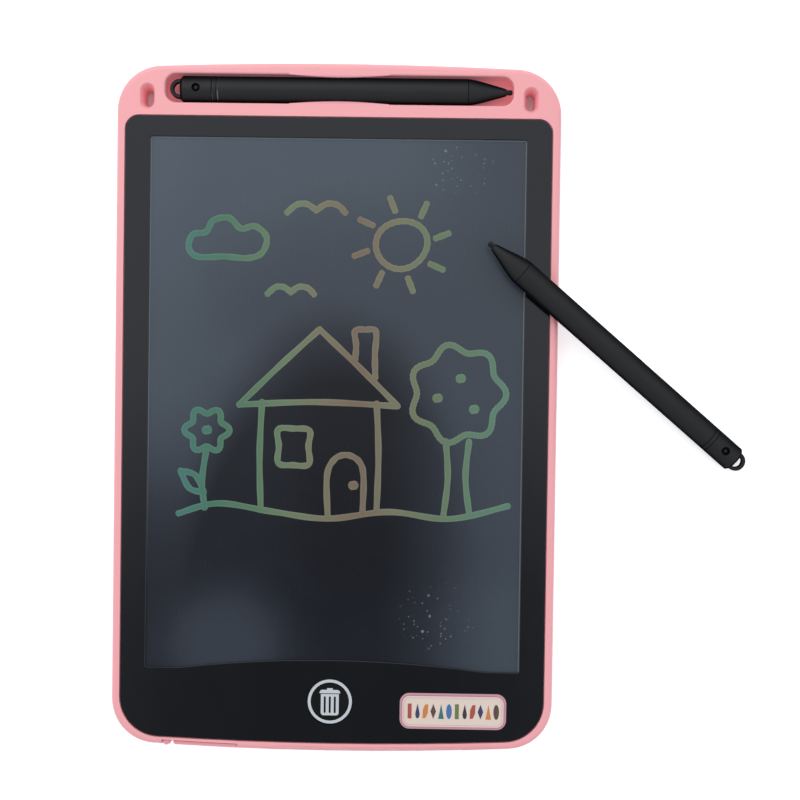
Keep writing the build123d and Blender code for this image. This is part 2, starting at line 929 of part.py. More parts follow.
def erase_ring(proud=print_depth + print_proud):
    """The pale ring around the button's face."""
    low = panel_top - print_depth
    ring = button_disc(low, low + proud, ring_outer_diameter)
    return ring - button_disc(0, case_thickness, ring_inner_diameter)


def bin_lid(low, high):
    """The lid of the pictogram, with its small handle."""
    foot = button_y - bin_body_drop + bin_body_height + bin_line_gap
    top = foot + bin_lid_height
    half = bin_lid_width / 2
    lid = block(button_x - half, button_x + half, foot, top, low, high)
    corners = lid.edges().filter_by(Axis.Z).sort_by(Axis.Y)[-2:]
    lid = fillet(corners, bin_lid_corner_radius)
    half = bin_handle_width / 2
    return lid + block(button_x - half, button_x + half, foot, top + bin_handle_height, low, high)


def bin_body(low, high):
    """The body of the pictogram, with its three slots."""
    foot = button_y - bin_body_drop
    half = bin_body_width / 2
    body = block(button_x - half, button_x + half, foot, foot + bin_body_height, low, high)
    corners = body.edges().filter_by(Axis.Z).sort_by(Axis.Y)[:2]
    body = fillet(corners, bin_body_corner_radius)
    for slot in range(bin_slot_count):
        x = button_x + (slot - (bin_slot_count - 1) / 2) * bin_slot_pitch
        cut = Pos(x, foot + bin_body_height / 2) * SlotOverall(bin_slot_length, bin_slot_width, rotation=90)
        body -= slab(cut, 0, case_thickness)
    return body


def erase_icon(proud=print_depth + print_proud):
    """The waste bin pictogram on the button."""
    low = panel_top - print_depth
    return Compound(children=[bin_lid(low, low + proud), bin_body(low, low + proud)])


def badge_frame():
    """The raised frame of the name badge: a low outer step and a higher lip round the plate."""
    step = badge_slab(panel_seat, panel_top + badge_step_proud)
    step = fillet(step.faces().sort_by(Axis.Z)[-1].edges(), badge_edge_radius)
    top = panel_top + badge_proud
    lip = badge_slab(panel_seat, top, -badge_step)
    lip = fillet(lip.faces().sort_by(Axis.Z)[-1].edges(), badge_edge_radius)
    return step + lip - badge_slab(panel_seat + badge_base, top + overrun, -badge_rim)


def badge_plate():
    """The pale plate inside the badge, bare of any name."""
    low = panel_seat + badge_base
    return badge_slab(low, low + badge_plate_thickness, -badge_rim - badge_plate_gap)


def drawer_face(left, right):
    """The part of the case's rounded edge that belongs to the drawer, between two sides."""
    bite_back = -case_top + case_bottom_corner_radius
    strip = block(left, right, -case_top - overrun, bite_back, front_foot, front_top)
    return case_envelope() & (strip - slab(case_plan(front_depth - tray_face_gap), 0, case_thickness))


def battery_tray():
    """The drawer: front, floor with the cell's seat, and the lug that carries the latch."""
    face = drawer_face(tray_left, tray_right)
    upright = face.edges().filter_by(Axis.Z).sort_by(Axis.Y)
    outer_left = [edge for edge in upright if edge.center().X < cell_x][:1]
    face = chamfer(outer_left, front_end_chamfer)
    low_y = -case_top
    inside = slab(case_plan(front_depth / 2), 0, case_thickness)
    plate = block(tray_left, tray_right, low_y, tray_rear_y, tray_foot, tray_rim_top)
    post_back = cell_y - cell_radius + tray_post_length
    post_top = cell_top - tray_post_drop
    posts = block(tray_left, tray_right, low_y, post_back, tray_foot, post_top)
    lug_front = cell_y - cell_radius - cell_setback + latch_arm_length + latch_root_gap
    lug = block(
        arm_left, tray_left, lug_front, lug_front + latch_lug_length, tray_foot, tray_foot + latch_arm_height
    )
    seat = disc(cell_x, cell_y, cell_foot, case_thickness, cell_diameter + 2 * cell_side_gap)
    return face + (((plate + posts) & inside) - seat) + lug


def battery_latch():
    """The springy finger beside the drawer's front."""
    pad = drawer_face(latch_left, latch_right)
    middle = (latch_left + latch_right) / 2
    edge_y = pad.bounding_box().min.Y
    bump_y = edge_y + latch_bump_radius - latch_bump_reach
    pad += disc(middle, bump_y, front_foot, front_top, 2 * latch_bump_radius)
    root_y = cell_y - cell_radius - cell_setback + latch_arm_length
    arm = block(
        arm_left,
        arm_left + latch_arm_thickness,
        edge_y + front_depth / 2,
        root_y,
        tray_foot,
        tray_foot + latch_arm_height,
    )
    return pad + arm


def cell_can():
    """The outer can of the coin cell."""
    can = disc(cell_x, cell_y, cell_foot, cell_foot + cell_can_height, cell_diameter)
    can = fillet(can.faces().sort_by(Axis.Z)[0].edges(), cell_edge_radius)
    return can - disc(
        cell_x, cell_y, cell_foot + cell_can_base, case_thickness, cell_diameter - 2 * cell_wall
    )


def cell_gasket():
    """The gasket ring between the can and the cap."""
    low = cell_foot + cell_can_base
    outer = cell_diameter - 2 * (cell_wall + cell_joint_gap)
    ring = disc(cell_x, cell_y, low, low + cell_gasket_height, outer)
    return ring - disc(cell_x, cell_y, 0, case_thickness, outer - 2 * cell_gasket_wall)


def cell_cap():
    """The smaller pole of the coin cell, with the filling under it."""
    outer = cell_diameter - 2 * (cell_wall + 2 * cell_joint_gap + cell_gasket_wall)
    cap = disc(cell_x, cell_y, cell_foot + cell_can_base, cell_top, outer)
    return fillet(cap.faces().sort_by(Axis.Z)[-1].edges(), cell_edge_radius)


def negative_contact():
    """The leaf over the coin cell, bent down to the main board."""
    low_y = cell_y - contact_width / 2
    high_y = cell_y + contact_width / 2
    leaf_foot = cell_top + contact_lift
    leaf_top = leaf_foot + contact_thickness
    riser = circuit_left + contact_board_inset
    leaf = block(cell_x - contact_width / 2, riser, low_y, high_y, leaf_foot, leaf_top)
    drop = block(riser, riser + contact_thickness, low_y, high_y, circuit_top, leaf_top)
    foot = block(
        riser, riser + contact_foot, low_y, high_y, circuit_top, circuit_top + contact_thickness
    )
    dimple = disc(cell_x, cell_y, cell_top + contact_dimple_gap, leaf_foot, 2 * contact_dimple_radius)
    return leaf + drop + foot + dimple


def positive_contact():
    """The side strip against the can, with its tab on the main board."""
    strip_left = cell_x + cell_radius + strip_gap
    strip_foot = tray_rim_top + strip_above_rim
    low_y = cell_y - contact_width / 2
    high_y = low_y + strip_length
    strip = block(
        strip_left, strip_left + contact_thickness, low_y, high_y, strip_foot, strip_foot + strip_height
    )
    tab_right = circuit_left + contact_board_inset + contact_foot
    tab = block(
        strip_left, tab_right, high_y - strip_tab_width, high_y, circuit_top, circuit_top + contact_thickness
    )
    return strip + tab


def lock_rest_x():
    """The middle of the lock slider at rest, at the open end of its travel."""
    return lock_x - lock_travel / 2


def lock_slider():
    """The rear slider: grooved knob, inner flange and the two prongs round the lever."""
    x = lock_rest_x()
    flange_foot = rear_floor + lock_flange_gap
    flange_top = flange_foot + lock_flange_thickness
    knob = rounded_slab(
        x, lock_slider_y, lock_knob_sink, flange_top, lock_knob_length, lock_knob_width, lock_corner_radius
    )
    for groove in range(lock_groove_count):
        groove_x = x + (groove - (lock_groove_count - 1) / 2) * lock_groove_pitch
        knob -= block(
            groove_x - lock_groove_width / 2,
            groove_x + lock_groove_width / 2,
            lock_slider_y - lock_knob_width,
            lock_slider_y + lock_knob_width,
            0,
            lock_knob_sink + lock_groove_depth,
        )
    flange = block(
        x - lock_flange_length / 2,
        x + lock_flange_length / 2,
        lock_slider_y - lock_flange_width / 2,
        lock_slider_y + lock_flange_width / 2,
        flange_foot,
        flange_top,
    )
    slider = knob + flange
    prong_high = lock_slider_y + lock_flange_width / 2
    for side in (-1, 1):
        near = x + side * (lever_width / 2 + lever_gap)
        away = near + side * lock_prong_thickness
        slider += block(
            min(near, away),
            max(near, away),
            prong_high - lock_prong_length,
            prong_high,
            flange_foot,
            flange_top + lock_prong_height,
        )
    return slider


def lock_switch_body():
    """The small slide switch under the main board."""
    y = lock_slider_y + lock_body_offset
    return block(
        lock_x - lock_body_length / 2,
        lock_x + lock_body_length / 2,
        y - lock_body_width / 2,
        y + lock_body_width / 2,
        circuit_foot - lock_body_height,
        circuit_foot,
    )


def lock_switch_lever():
    """The lever of the slide switch, held between the slider's prongs."""
    x = lock_rest_x()
    back = lock_slider_y + lock_body_offset - lock_body_width / 2 - lever_gap
    top = rear_floor + lock_flange_gap + lock_flange_thickness + lock_prong_height
    return block(x - lever_width / 2, x + lever_width / 2, back - lever_length, back, top - lever_height, top)


def oval(width, height):
    """The stylus section: two crown arcs and two tighter side arcs, tangent to each other."""
    half_width = width / 2
    half_height = height / 2
    side_radius = width * stylus_side_share
    reach = half_width - side_radius
    crown_radius = (reach**2 + half_height**2 - side_radius**2) / (2 * (half_height - side_radius))
    drop = crown_radius - half_height
    span = math.hypot(reach, drop)
    join_x = reach + side_radius * reach / span
    join_y = side_radius * drop / span
    edges = [
        ThreePointArc((-join_x, join_y), (0, half_height), (join_x, join_y)),
        ThreePointArc((join_x, join_y), (half_width, 0), (join_x, -join_y)),
        ThreePointArc((join_x, -join_y), (0, -half_height), (-join_x, -join_y)),
        ThreePointArc((-join_x, -join_y), (-half_width, 0), (-join_x, join_y)),
    ]
    return make_face(edges)


def across(from_tip, plan):
    """A section set square across the stylus at a distance from its tip."""
    return Plane(origin=(-from_tip, 0, 0), x_dir=(0, 1, 0), z_dir=(1, 0, 0)) * plan


def oval_rod(start, end, width, height):
    """A length of oval rod between two distances from the tip."""
    return extrude(across(end, oval(width, height)), end - start, dir=(1, 0, 0))


def round_rod(start, end, diameter):
    """A length of round rod between two distances from the tip."""
    return extrude(across(end, Circle(diameter / 2)), end - start, dir=(1, 0, 0))


def bore_size(gap=0):
    """Width and height of the barrel's bore, less a gap all round."""
    loss = 2 * (stylus_wall + gap)
    return stylus_width - loss, stylus_height - loss


def stylus_nib():
    """The hard nib with its shank inside the nose."""
    tip = round_rod(0, nib_length, nib_diameter)
    tip = fillet(tip.edges().sort_by(Axis.X)[-1], nib_tip_radius)
    return tip + round_rod(nib_length, nib_length + nib_shank_length, nib_shank_diameter)


def stylus_nose():
    """The tapering nose with its collar, its spigot and the bore for the nib."""
    end = nib_length + seam_gap
    collar_section = across(nose_collar_from_tip, oval(nose_collar_width, nose_collar_height))
    nose = loft(
        [
            across(nose_length, oval(stylus_width, stylus_height)),
            across(nose_knee_from_tip, oval(nose_knee_width, nose_knee_height)),
            across(nose_middle_from_tip, oval(nose_middle_width, nose_middle_height)),
            collar_section,
        ]
    )
    nose += loft([collar_section, across(end, oval(nose_end_width, nose_end_height))], ruled=True)
    nose += oval_rod(nose_length, nose_length + spigot_length, *bore_size(spigot_gap))
    bore_diameter = nib_shank_diameter + 2 * screw_thread_gap
    bore = round_rod(0, nib_length + nib_shank_length + spigot_gap, bore_diameter)
    return nose - bore


def stylus_barrel():
    """The hollow barrel, with bevelled ends and the groove near its tail."""
    start = nose_length + seam_gap
    barrel = oval_rod(start, barrel_end, stylus_width, stylus_height)
    ends = barrel.faces().sort_by(Axis.X)
    barrel = chamfer(ends[0].edges() + ends[-1].edges(), seam_chamfer)
    groove_end = barrel_groove + groove_width
    groove = oval_rod(barrel_groove, groove_end, stylus_width + overrun, stylus_height + overrun)
    groove -= oval_rod(
        barrel_groove - overrun,
        barrel_groove + overrun,
        stylus_width - 2 * groove_depth,
        stylus_height - 2 * groove_depth,
    )
    return barrel - groove - oval_rod(0, cap_end, *bore_size())


def lanyard_loop():
    """The rounded half ring at the stylus's tail."""
    middle = -cap_end - loop_offset
    half = loop_height / 2
    ring = disc(middle, 0, -half, half, 2 * loop_radius)
    ring -= disc(middle, 0, -half, half, 2 * (loop_radius - loop_thickness))
    ring = fillet(ring.edges().filter_by(GeomType.CIRCLE), loop_edge_radius)
    return ring & block(-cap_end - loop_reach - overrun, -cap_end, -loop_reach, loop_reach, -half, half)


def stylus_end_cap():
    """The end cap with its spigot, its dimple and the lanyard loop."""
    start = barrel_end + seam_gap
    cap = oval_rod(start, cap_end, stylus_width, stylus_height)
    ends = cap.faces().sort_by(Axis.X)
    cap = chamfer(ends[0].edges(), cap_end_chamfer)
    cap = chamfer(cap.faces().sort_by(Axis.X)[-1].edges(), seam_chamfer)
    cap += oval_rod(start - spigot_length, start, *bore_size(spigot_gap))
    floor = stylus_height / 2 - dimple_depth
    cap -= disc(-dimple_from_tip, 0, floor, stylus_height, dimple_diameter)
    cap += disc(-dimple_from_tip, 0, floor - overrun, floor + dimple_pip_height, dimple_pip_diameter)
    return cap + lanyard_loop()


def stylus_pieces():
    """The four pieces of one stylus."""
    return {
        "nib": stylus_nib(),
        "nose": stylus_nose(),
        "barrel": stylus_barrel(),
        "end_cap": stylus_end_cap(),
    }


def stowed_place():
    """Where the stowed stylus lies in the trough."""
    return Pos(trough_length / 2 - stowed_nib_gap, trough_y, stylus_axis_height)


def loose_place():
    """Where the second stylus lies, over the right rim with its tail on the table."""
    heading = math.radians(loose_heading)
    rim_x = case_half_width - front_edge_radius / 2
    to_rim = (loose_tip_x - rim_x) / math.cos(heading)
    tail_from_tip = cap_end - cap_end_chamfer
    rise = case_thickness + loose_rim_gap
    tilt = math.atan2(rise, tail_from_tip - to_rim)
    half = stylus_height / 2
    tip_height = loose_table_gap + tail_from_tip * math.sin(tilt) + half * math.cos(tilt)
    turn = Rot(0, 0, loose_heading) * Rot(0, -math.degrees(tilt), 0)
    return Pos(loose_tip_x, loose_tip_y, tip_height) * turn


def write(name, shape):
    """Writes one node."""
    export_step(shape, f"parts/{name}.step")


def main():
    """Builds and writes every piece."""
    envelope = case_envelope()
    pieces = {
        "front_frame": front_frame(envelope),
        "rear_cover": rear_cover(envelope),
        "stylus_grip_lips": stylus_grip_lips(),
        "bezel_panel": bezel_panel(),
        "bezel_adhesive": bezel_adhesive(),
        "lcd_front_film": screen_slab(crystal_top, panel_seat),
        "lcd_crystal_layer": screen_slab(crystal_foot, crystal_top),
        "lcd_back_film": screen_slab(screen_foot, crystal_foot),
        "backing_board": backing_board(),
        "lcd_flex_tail": screen_tail(),
        "main_board": main_board(),
        "board_screws": board_screws(),
        "tact_switch_housing": switch_housing(),
        "tact_switch_cover": switch_cover(),
        "tact_switch_plunger": switch_plunger(),
        "tact_switch_dome": switch_dome(),
        "boost_chip": boost_chip(),
        "power_inductor": power_inductor(),
        "ceramic_capacitors": small_parts(capacitor_size, (0, 2, 6, 7), circuit_low_y + boss_inset),
        "chip_resistors": small_parts(resistor_size, (1, 3, 4, 5), circuit_low_y + boss_inset),
        "erase_button_cap": erase_button_cap(),
        "erase_button_ring": erase_ring(),
        "erase_icon": erase_icon(),
        "badge_frame": badge_frame(),
        "badge_plate": badge_plate(),
        "battery_tray": battery_tray(),
        "battery_latch": battery_latch(),
        "coin_cell_can": cell_can(),
        "coin_cell_gasket": cell_gasket(),
        "coin_cell_cap": cell_cap(),
        "battery_contact_negative": negative_contact(),
        "battery_contact_positive": positive_contact(),
        "lock_slider": lock_slider(),
        "lock_switch_body": lock_switch_body(),
        "lock_switch_lever": lock_switch_lever(),
    }
    for prefix, place in (("stowed", stowed_place()), ("loose", loose_place())):
        for name, piece in stylus_pieces().items():
            pieces[f"{prefix}_stylus_{name}"] = place * piece
    os.makedirs("parts", exist_ok=True)
    for name, shape in pieces.items():
        write(name, shape)


main()
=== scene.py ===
import json
import math

import bmesh
import bpy
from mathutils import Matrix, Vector


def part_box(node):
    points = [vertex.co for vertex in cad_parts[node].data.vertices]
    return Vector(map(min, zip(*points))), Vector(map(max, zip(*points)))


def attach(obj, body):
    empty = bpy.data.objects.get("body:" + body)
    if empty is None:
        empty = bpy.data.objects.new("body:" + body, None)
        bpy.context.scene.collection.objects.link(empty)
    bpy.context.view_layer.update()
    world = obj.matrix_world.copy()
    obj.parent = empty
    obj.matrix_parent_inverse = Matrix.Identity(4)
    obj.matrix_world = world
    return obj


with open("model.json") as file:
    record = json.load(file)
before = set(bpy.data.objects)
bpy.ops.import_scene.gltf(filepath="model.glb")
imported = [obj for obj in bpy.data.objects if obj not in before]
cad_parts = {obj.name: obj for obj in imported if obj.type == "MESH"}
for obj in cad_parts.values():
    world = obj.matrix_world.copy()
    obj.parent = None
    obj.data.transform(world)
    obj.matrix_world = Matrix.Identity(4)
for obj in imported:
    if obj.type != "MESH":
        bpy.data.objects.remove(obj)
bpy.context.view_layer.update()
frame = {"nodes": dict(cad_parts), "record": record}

# Metres throughout, apart from the points of the drawing, which are millimetres on the screen.
# X runs across the screen, Y towards the stylus trough and Z up out of the screen.
# A range holds the two values of a texture between which a mark comes or goes.
MM = 0.001
white = (1.0, 1.0, 1.0, 1.0)
no_light = (0.0, 0.0, 0.0, 1.0)
flattened = (1.0, 1.0, 0.0)

# Camera
camera_place = (0.025877, 0.011028, 0.423016)
camera_turn_degrees = (-1.05999, 0.65830, 0.80689)
camera_lens = 57.195
sensor_width = 36.0
near_clip = 0.01
far_clip = 50.0

# Light
dome_level = 0.945
dome_tint = (0.97, 1.0, 1.05)
front_dimming = 0.55
front_low = 0.35
front_high = 0.95
dark_overhead_level = 0.15
dark_overhead_direction = (-0.05, -0.26, 0.964)
dark_overhead_inner_degrees = 5.0
dark_overhead_outer_degrees = 19.0
horizon_level = 1.04
horizon_low = 0.06
horizon_high = 0.16
key_place = (-0.24, 0.5, 0.52)
key_size = 0.46
key_power = 1.1
key_tint = (1.0, 0.985, 0.965)

# Floor
floor_size = 8.0
floor_whiteness = 0.72
floor_lift = 0.45
floor_fleck = (0.6, 0.6, 0.6, 1.0)
floor_fleck_share = 0.02
paper_size = 3 * MM
cover_corner_radius = 15 * MM
cover_fade = 2 * MM
floor_drop = 0.02 * MM
under_start = 1.8 * MM
under_end = 2.8 * MM
hole_place = (62.5 * MM, 101.3 * MM)
hole_half_size = (2.1 * MM, 3.5 * MM)
hole_fade = 1.3

# Painted shade and glow inside the trough and the holes: a redder pink, and a faint red glow
shell_corner_radius = 15 * MM
shell_edge_start = 2.6 * MM
shell_edge_end = 3.2 * MM
deep_low = 5.0 * MM
deep_high = 7.7 * MM
deep_foot_low = 0.4 * MM
deep_foot_high = 1.4 * MM
deep_front_y = 96 * MM
deep_blur = 1 * MM
# Colour of the painted red glow in the trough and holes
painted_glow_colour = (0.105, 0.05, 0.057, 1.0)
hole_glow_share = 0.4
hole_shade_share = 0.35
trough_half_length = 59 * MM
hole_inner_edge = 61 * MM

# Strokes of the drawing on the screen
stroke_width = 2.05 * MM
stroke_rise = 0.02 * MM
stroke_step = 0.004 * MM
curve_steps = 10
cap_shares = (0.04, 0.3, 0.6, 0.85)
stroke_shoulder = 0.55
shoulder_edge = 0.5
stroke_waver = 0.06
waver_turn = 0.9
layer_share = 0.2
dot_width = 2.9 * MM

# Places and sizes in the drawing, in millimetres
oval_wobble = 0.04
bump_steps = 8
crown_centre = (40, 5.5)
crown_size = (14.6, 15)
crown_bumps = 7
crown_swell = 0.09
flower_centre = (-42, -7.5)
flower_size = (6.4, 6.4)
petal_count = 6
petal_swell = 0.16
fruit_places = ((33.5, 4), (41, 10.5), (45.5, 0.5))
door_knob_place = (6.3, -25)
dot_stretch = (0.3, 0.1)
sun_centre = (21, 54)
sun_size = (8.2, 8)
sun_steps = 16
ray_count = 8
ray_turn = 0.2
ray_lean = 0.05
ray_start = (11.4, 11.2)
ray_end = (15.8, 15.6)

# Window over the film and the painted highlight along its edge
window_half_width = 61.4 * MM
window_top_y = 88.275 * MM
edge_highlight_width = 0.4 * MM
edge_highlight_strength = 0.75

# Details that the stylus plastic shows: painted shade in the end caps' dimples and painted highlights on
# the stowed stylus's seam and groove
stowed_axis_y = 104.07 * MM
stowed_half_width = 4.3 * MM
dimple_places = ((-46.65 * MM, stowed_axis_y), (127.86 * MM, -11.9 * MM))
# Reach of the painted shade round each dimple's pip
dimple_inner = 0.55 * MM
dimple_outer = 1.3 * MM
dimple_blur = 0.2 * MM
seam_highlight_places = (-41.45 * MM, -39.6 * MM)
seam_highlight_width = 0.28 * MM

# Bands of the badge frame, with a painted highlight on the lip and a painted shade line at the step
badge_corner_radius = 3.2 * MM
badge_step_width = 0.75 * MM
badge_band_blur = 0.1 * MM

# Marks on the badge
mark_height = 0.03 * MM
mark_count = 12
mark_pitch = 2.58 * MM
mark_half_width = 0.92 * MM
mark_half_height = 2.45 * MM
mark_sides = 28
mark_ink_dimming = 0.8
kind_stride = 5
ink_stride = 3

# Moulded plastic
flow_size = 21 * MM
speck_size = 0.6 * MM
handling_size = 8 * MM
scratch_width = 0.5 * MM
scratch_stretch = (1.0, 0.07, 1.0)
scratch_range = (0.66, 0.74)
handled_range = (0.52, 0.7)
plain_grain = 0.22 * MM
plain_grain_depth = 0.006 * MM
hard_grain_depth = 0.003 * MM
shell_grain = 0.3 * MM
shell_grain_depth = 0.008 * MM
trim_grain = 0.25 * MM
trim_grain_depth = 0.004 * MM
inlay_grain = 0.3 * MM
inlay_grain_depth = 0.005 * MM
plate_grain = 0.4 * MM
plate_grain_depth = 0.004 * MM
ferrite_grain = 0.15 * MM

# Black panel
smear_size = 14 * MM
smear_stretch = (1.0, 0.45, 1.0)
hair_up_width = 0.35 * MM
hair_up_stretch = (1.0, 0.03, 1.0)
hair_up_range = (0.68, 0.74)
hair_across_width = 0.3 * MM
hair_across_stretch = (0.05, 1.0, 1.0)
hair_across_range = (0.69, 0.75)
dust_pitch = 1.6 * MM
dust_range = (0.03, 0.06)
dust_zone_size = 9 * MM
dust_zone_range = (0.56, 0.7)
ripple_size = 30 * MM
fine_ripple_size = 0.5 * MM
ripple_depth = 0.05 * MM
ripple_strength = 0.25
panel_roughness = 0.15

# Haze, a painted reflection of the lights, specks and edges of the writing film
main_rise = 0.75
main_rise_y = (-75 * MM, 30 * MM)
upper_rise = 0.17
upper_rise_y = (20 * MM, 84 * MM)
left_rise = 0.1
left_rise_x = (-62 * MM, -36 * MM)
left_rise_y = (-50 * MM, 10 * MM)
upper_dip_depth = 0.13
upper_dip = ((10 * MM, 40 * MM), (60 * MM, 40 * MM))
dark_middle = ((0, -44 * MM), (52 * MM, 84 * MM))
right_level = 0.67
right_rise_x = (12 * MM, 57 * MM)
lower_left_rise = 0.12
lower_left_x = (-24 * MM, 4 * MM)
lower_left_y = (-10 * MM, 30 * MM)
foot_rise = 0.1
foot_rise_y = (-82 * MM, -40 * MM)
low_patch_rise = 0.34
low_patch = ((-35 * MM, -78 * MM), (31 * MM, 33 * MM))
cloud_rise = 0.1
cloud_size = 26 * MM
fine_haze_rise = 0.09
fine_haze_size = 0.8 * MM
upper_speck_zone = ((40 * MM, 79 * MM), (13 * MM, 11 * MM))
lower_speck_zone = ((35 * MM, -67 * MM), (17 * MM, 14 * MM))
speck_zone_range = (0.1, 0.5)
speck_range = (0.1, 0.24)
speck_fade_below = 0.02
speck_fade_above = 0.3
large_speck_pitch = 2.7 * MM
large_speck_strength = 0.8
large_specks_left_out = 0.5
small_speck_pitch = 1.5 * MM
small_speck_strength = 0.6
small_specks_left_out = 0.4
dim_corner_x = (-60 * MM, -40 * MM)
dim_corner_y = (-70 * MM, 10 * MM)
film_hair_width = 0.4 * MM
film_hair_stretch = (1.0, 0.05, 1.0)
film_hair_range = (0.68, 0.75)
wipe_size = 12 * MM
wipe_stretch = (0.5, 1.0, 1.0)
film_grain = 0.18 * MM
film_grain_depth = 0.004 * MM
film_roughness = 0.22
film_specular = 0.36

# Drawn line
line_left_x = -55 * MM
line_reach = 118 * MM
pressure_size = 3.5 * MM
line_grain = 0.2 * MM
line_grain_depth = 0.004 * MM
line_edge_range = (0.3, 0.8)
line_paleness = 0.12
line_roughness = 0.36

# Stylus plastic
stylus_grain = 0.25 * MM
stylus_grain_depth = 0.01 * MM
rub_size = 6 * MM
stylus_flow_size = 14 * MM
rub_range = (0.5, 0.75)
# Painted highlight on the stowed stylus's seam and groove
seam_highlight_fade = 2 * MM
seam_highlight_far_dimming = 0.8
seam_highlight_range = (0.3, 0.55)
seam_highlight_strength = 0.4
satin_roughness = 0.54
satin_specular = 0.4
# Painted shade on the stylus: a matt near-black body mixed in where it turns away and in the dimples
shade_body_roughness = 0.8
turned_range = (0.0, 0.42)
turned_shading = 0.9
dimple_shading = 0.8

# Metals, circuit board and what is soldered to it
brush_width = 0.25 * MM
brush_stretch = (1.0, 0.06, 1.0)
brush_depth = 0.006 * MM
tarnish_size = 4 * MM
tarnish_range = (0.45, 0.75)
track_pitch = 5 * MM
track_range = (0.05, 0.08)
track_depth = 0.03 * MM
via_pitch = 3.1 * MM
via_range = (0.09, 0.12)
board_roughness = 0.32
weave_size = 0.7 * MM
first_small_part_x = -15.0 * MM
small_part_pitch = 3 * MM
capacitor_length = 2 * MM
resistor_length = 1.6 * MM
tinned_share = 0.3
tinned_blur = 0.04
tinned_mottle_size = 0.3 * MM
tinned_relief = 0.01 * MM
tinned_roughness = 0.5
lane_pitch = 0.8 * MM
lane_range = (0.18, 0.24)
lane_cloud_size = 1.5 * MM
lane_depth = 0.02 * MM
tail_roughness = 0.28


def shade(red, green, blue):
    """A colour written as it looks, from 0 to 255, as the linear colour that nodes take."""

    def linear(value):
        """The sRGB curve undone."""
        share = value / 255
        return share / 12.92 if share <= 0.04045 else ((share + 0.055) / 1.055) ** 2.4

    return (linear(red), linear(green), linear(blue), 1.0)


class Amount:
    """A value that changes over a surface, for arithmetic written as expressions."""

    def __init__(self, nodes, socket):
        self.nodes = nodes
        self.socket = socket

    def math(self, operation, other=None, first=None, clamp=False):
        """A Math node on this value, alone, with another value after it, or with one before it."""
        values = [self if first is None else first]
        if first is not None:
            values.append(self)
        elif other is not None:
            values.append(other)
        settings = {"operation": operation, "use_clamp": clamp}
        return self.nodes.node("ShaderNodeMath", settings, dict(enumerate(values)))

    def __add__(self, other):
        return self.math("ADD", other)

    def __radd__(self, other):
        return self.math("ADD", first=other)

    def __sub__(self, other):
        return self.math("SUBTRACT", other)

    def __rsub__(self, other):
        return self.math("SUBTRACT", first=other)

    def __mul__(self, other):
        return self.math("MULTIPLY", other)

    def __rmul__(self, other):
        return self.math("MULTIPLY", first=other)

    def __truediv__(self, other):
        return self.math("DIVIDE", other)

    def clipped(self):
        return self.math("ADD", 0.0, clamp=True)

    def smooth(self, low, high):
        """Rises smoothly from 0 at low to 1 at high."""
        return self.nodes.node(
            "ShaderNodeMapRange",
            {"interpolation_type": "SMOOTHSTEP"},
            {"Value": self, "From Min": low, "From Max": high},
        )


class NodeTree:
    """A node tree under construction."""

    def __init__(self, tree):
        self.tree = tree
        self.tree.nodes.clear()

    def node(self, kind, settings=None, sockets=None, output=0):
        """Adds a node of a kind: its settings first, then the values or links of its sockets."""
        node = self.tree.nodes.new(kind)
        for name, value in (settings or {}).items():
            if name == "stops":
                self.set_stops(node.color_ramp, value)
            else:
                setattr(node, name, value)
        for name, value in (sockets or {}).items():
            if isinstance(value, Amount):
                self.tree.links.new(value.socket, node.inputs[name])
            else:
                node.inputs[name].default_value = value
        return Amount(self, node.outputs[output]) if node.outputs else node

    @staticmethod
    def set_stops(ramp, stops):
        while len(ramp.elements) < len(stops):
            ramp.elements.new(0.5)
        for element, (position, color) in zip(ramp.elements, stops):
            element.position = position
            element.color = color

    def ramp(self, value, stops):
        return self.node("ShaderNodeValToRGB", {"stops": stops}, {"Fac": value})

    def mix(self, factor, first, second):
        """Two colours mixed by a factor."""
        return self.node("ShaderNodeMix", {"data_type": "RGBA"}, {0: factor, 6: first, 7: second}, output=2)

    def place(self):
        """Where a point lies on its piece, in metres in the shared frame."""
        return self.node("ShaderNodeTexCoord", output="Object")

    def along(self, vector, axis):
        """One part of a vector, X, Y or Z."""
        return self.node("ShaderNodeSeparateXYZ", None, {0: vector}, output=axis)

    def stretched(self, vector, scale):
        """A vector scaled part by part."""
        return self.node("ShaderNodeVectorMath", {"operation": "MULTIPLY"}, {0: vector, 1: scale})

    def noise(self, vector, size, detail=2.0, roughness=0.5):
        """Even noise whose grains are about the given size in metres."""
        sockets = {"Vector": vector, "Scale": 1 / size, "Detail": detail, "Roughness": roughness}
        return self.node("ShaderNodeTexNoise", None, sockets)

    def cells(self, vector, size, feature="F1", output="Distance"):
        """Scattered cells of about the given size in metres."""
        sockets = {"Vector": vector, "Scale": 1 / size}
        return self.node("ShaderNodeTexVoronoi", {"feature": feature}, sockets, output=output)

    def bump(self, height, strength, distance):
        sockets = {"Height": height, "Strength": strength, "Distance": distance}
        return self.node("ShaderNodeBump", None, sockets)


class Finish(NodeTree):
    """One material under construction."""

    def __init__(self, name):
        self.material = bpy.data.materials.new(name)
        self.material.use_nodes = True
        super().__init__(self.material.node_tree)

    def body(self, **sockets):
        """One glossy or dull body, described by its sockets."""
        named = {
            name.replace("_", " ").title().replace("Ior", "IOR"): value for name, value in sockets.items()
        }
        return self.node("ShaderNodeBsdfPrincipled", None, named)

    def done(self, body):
        """Ends the material with a body."""
        self.node("ShaderNodeOutputMaterial", None, {"Surface": body})
        return self.material

    def surface(self, **sockets):
        """Ends the material with one body, described by its sockets."""
        return self.done(self.body(**sockets))


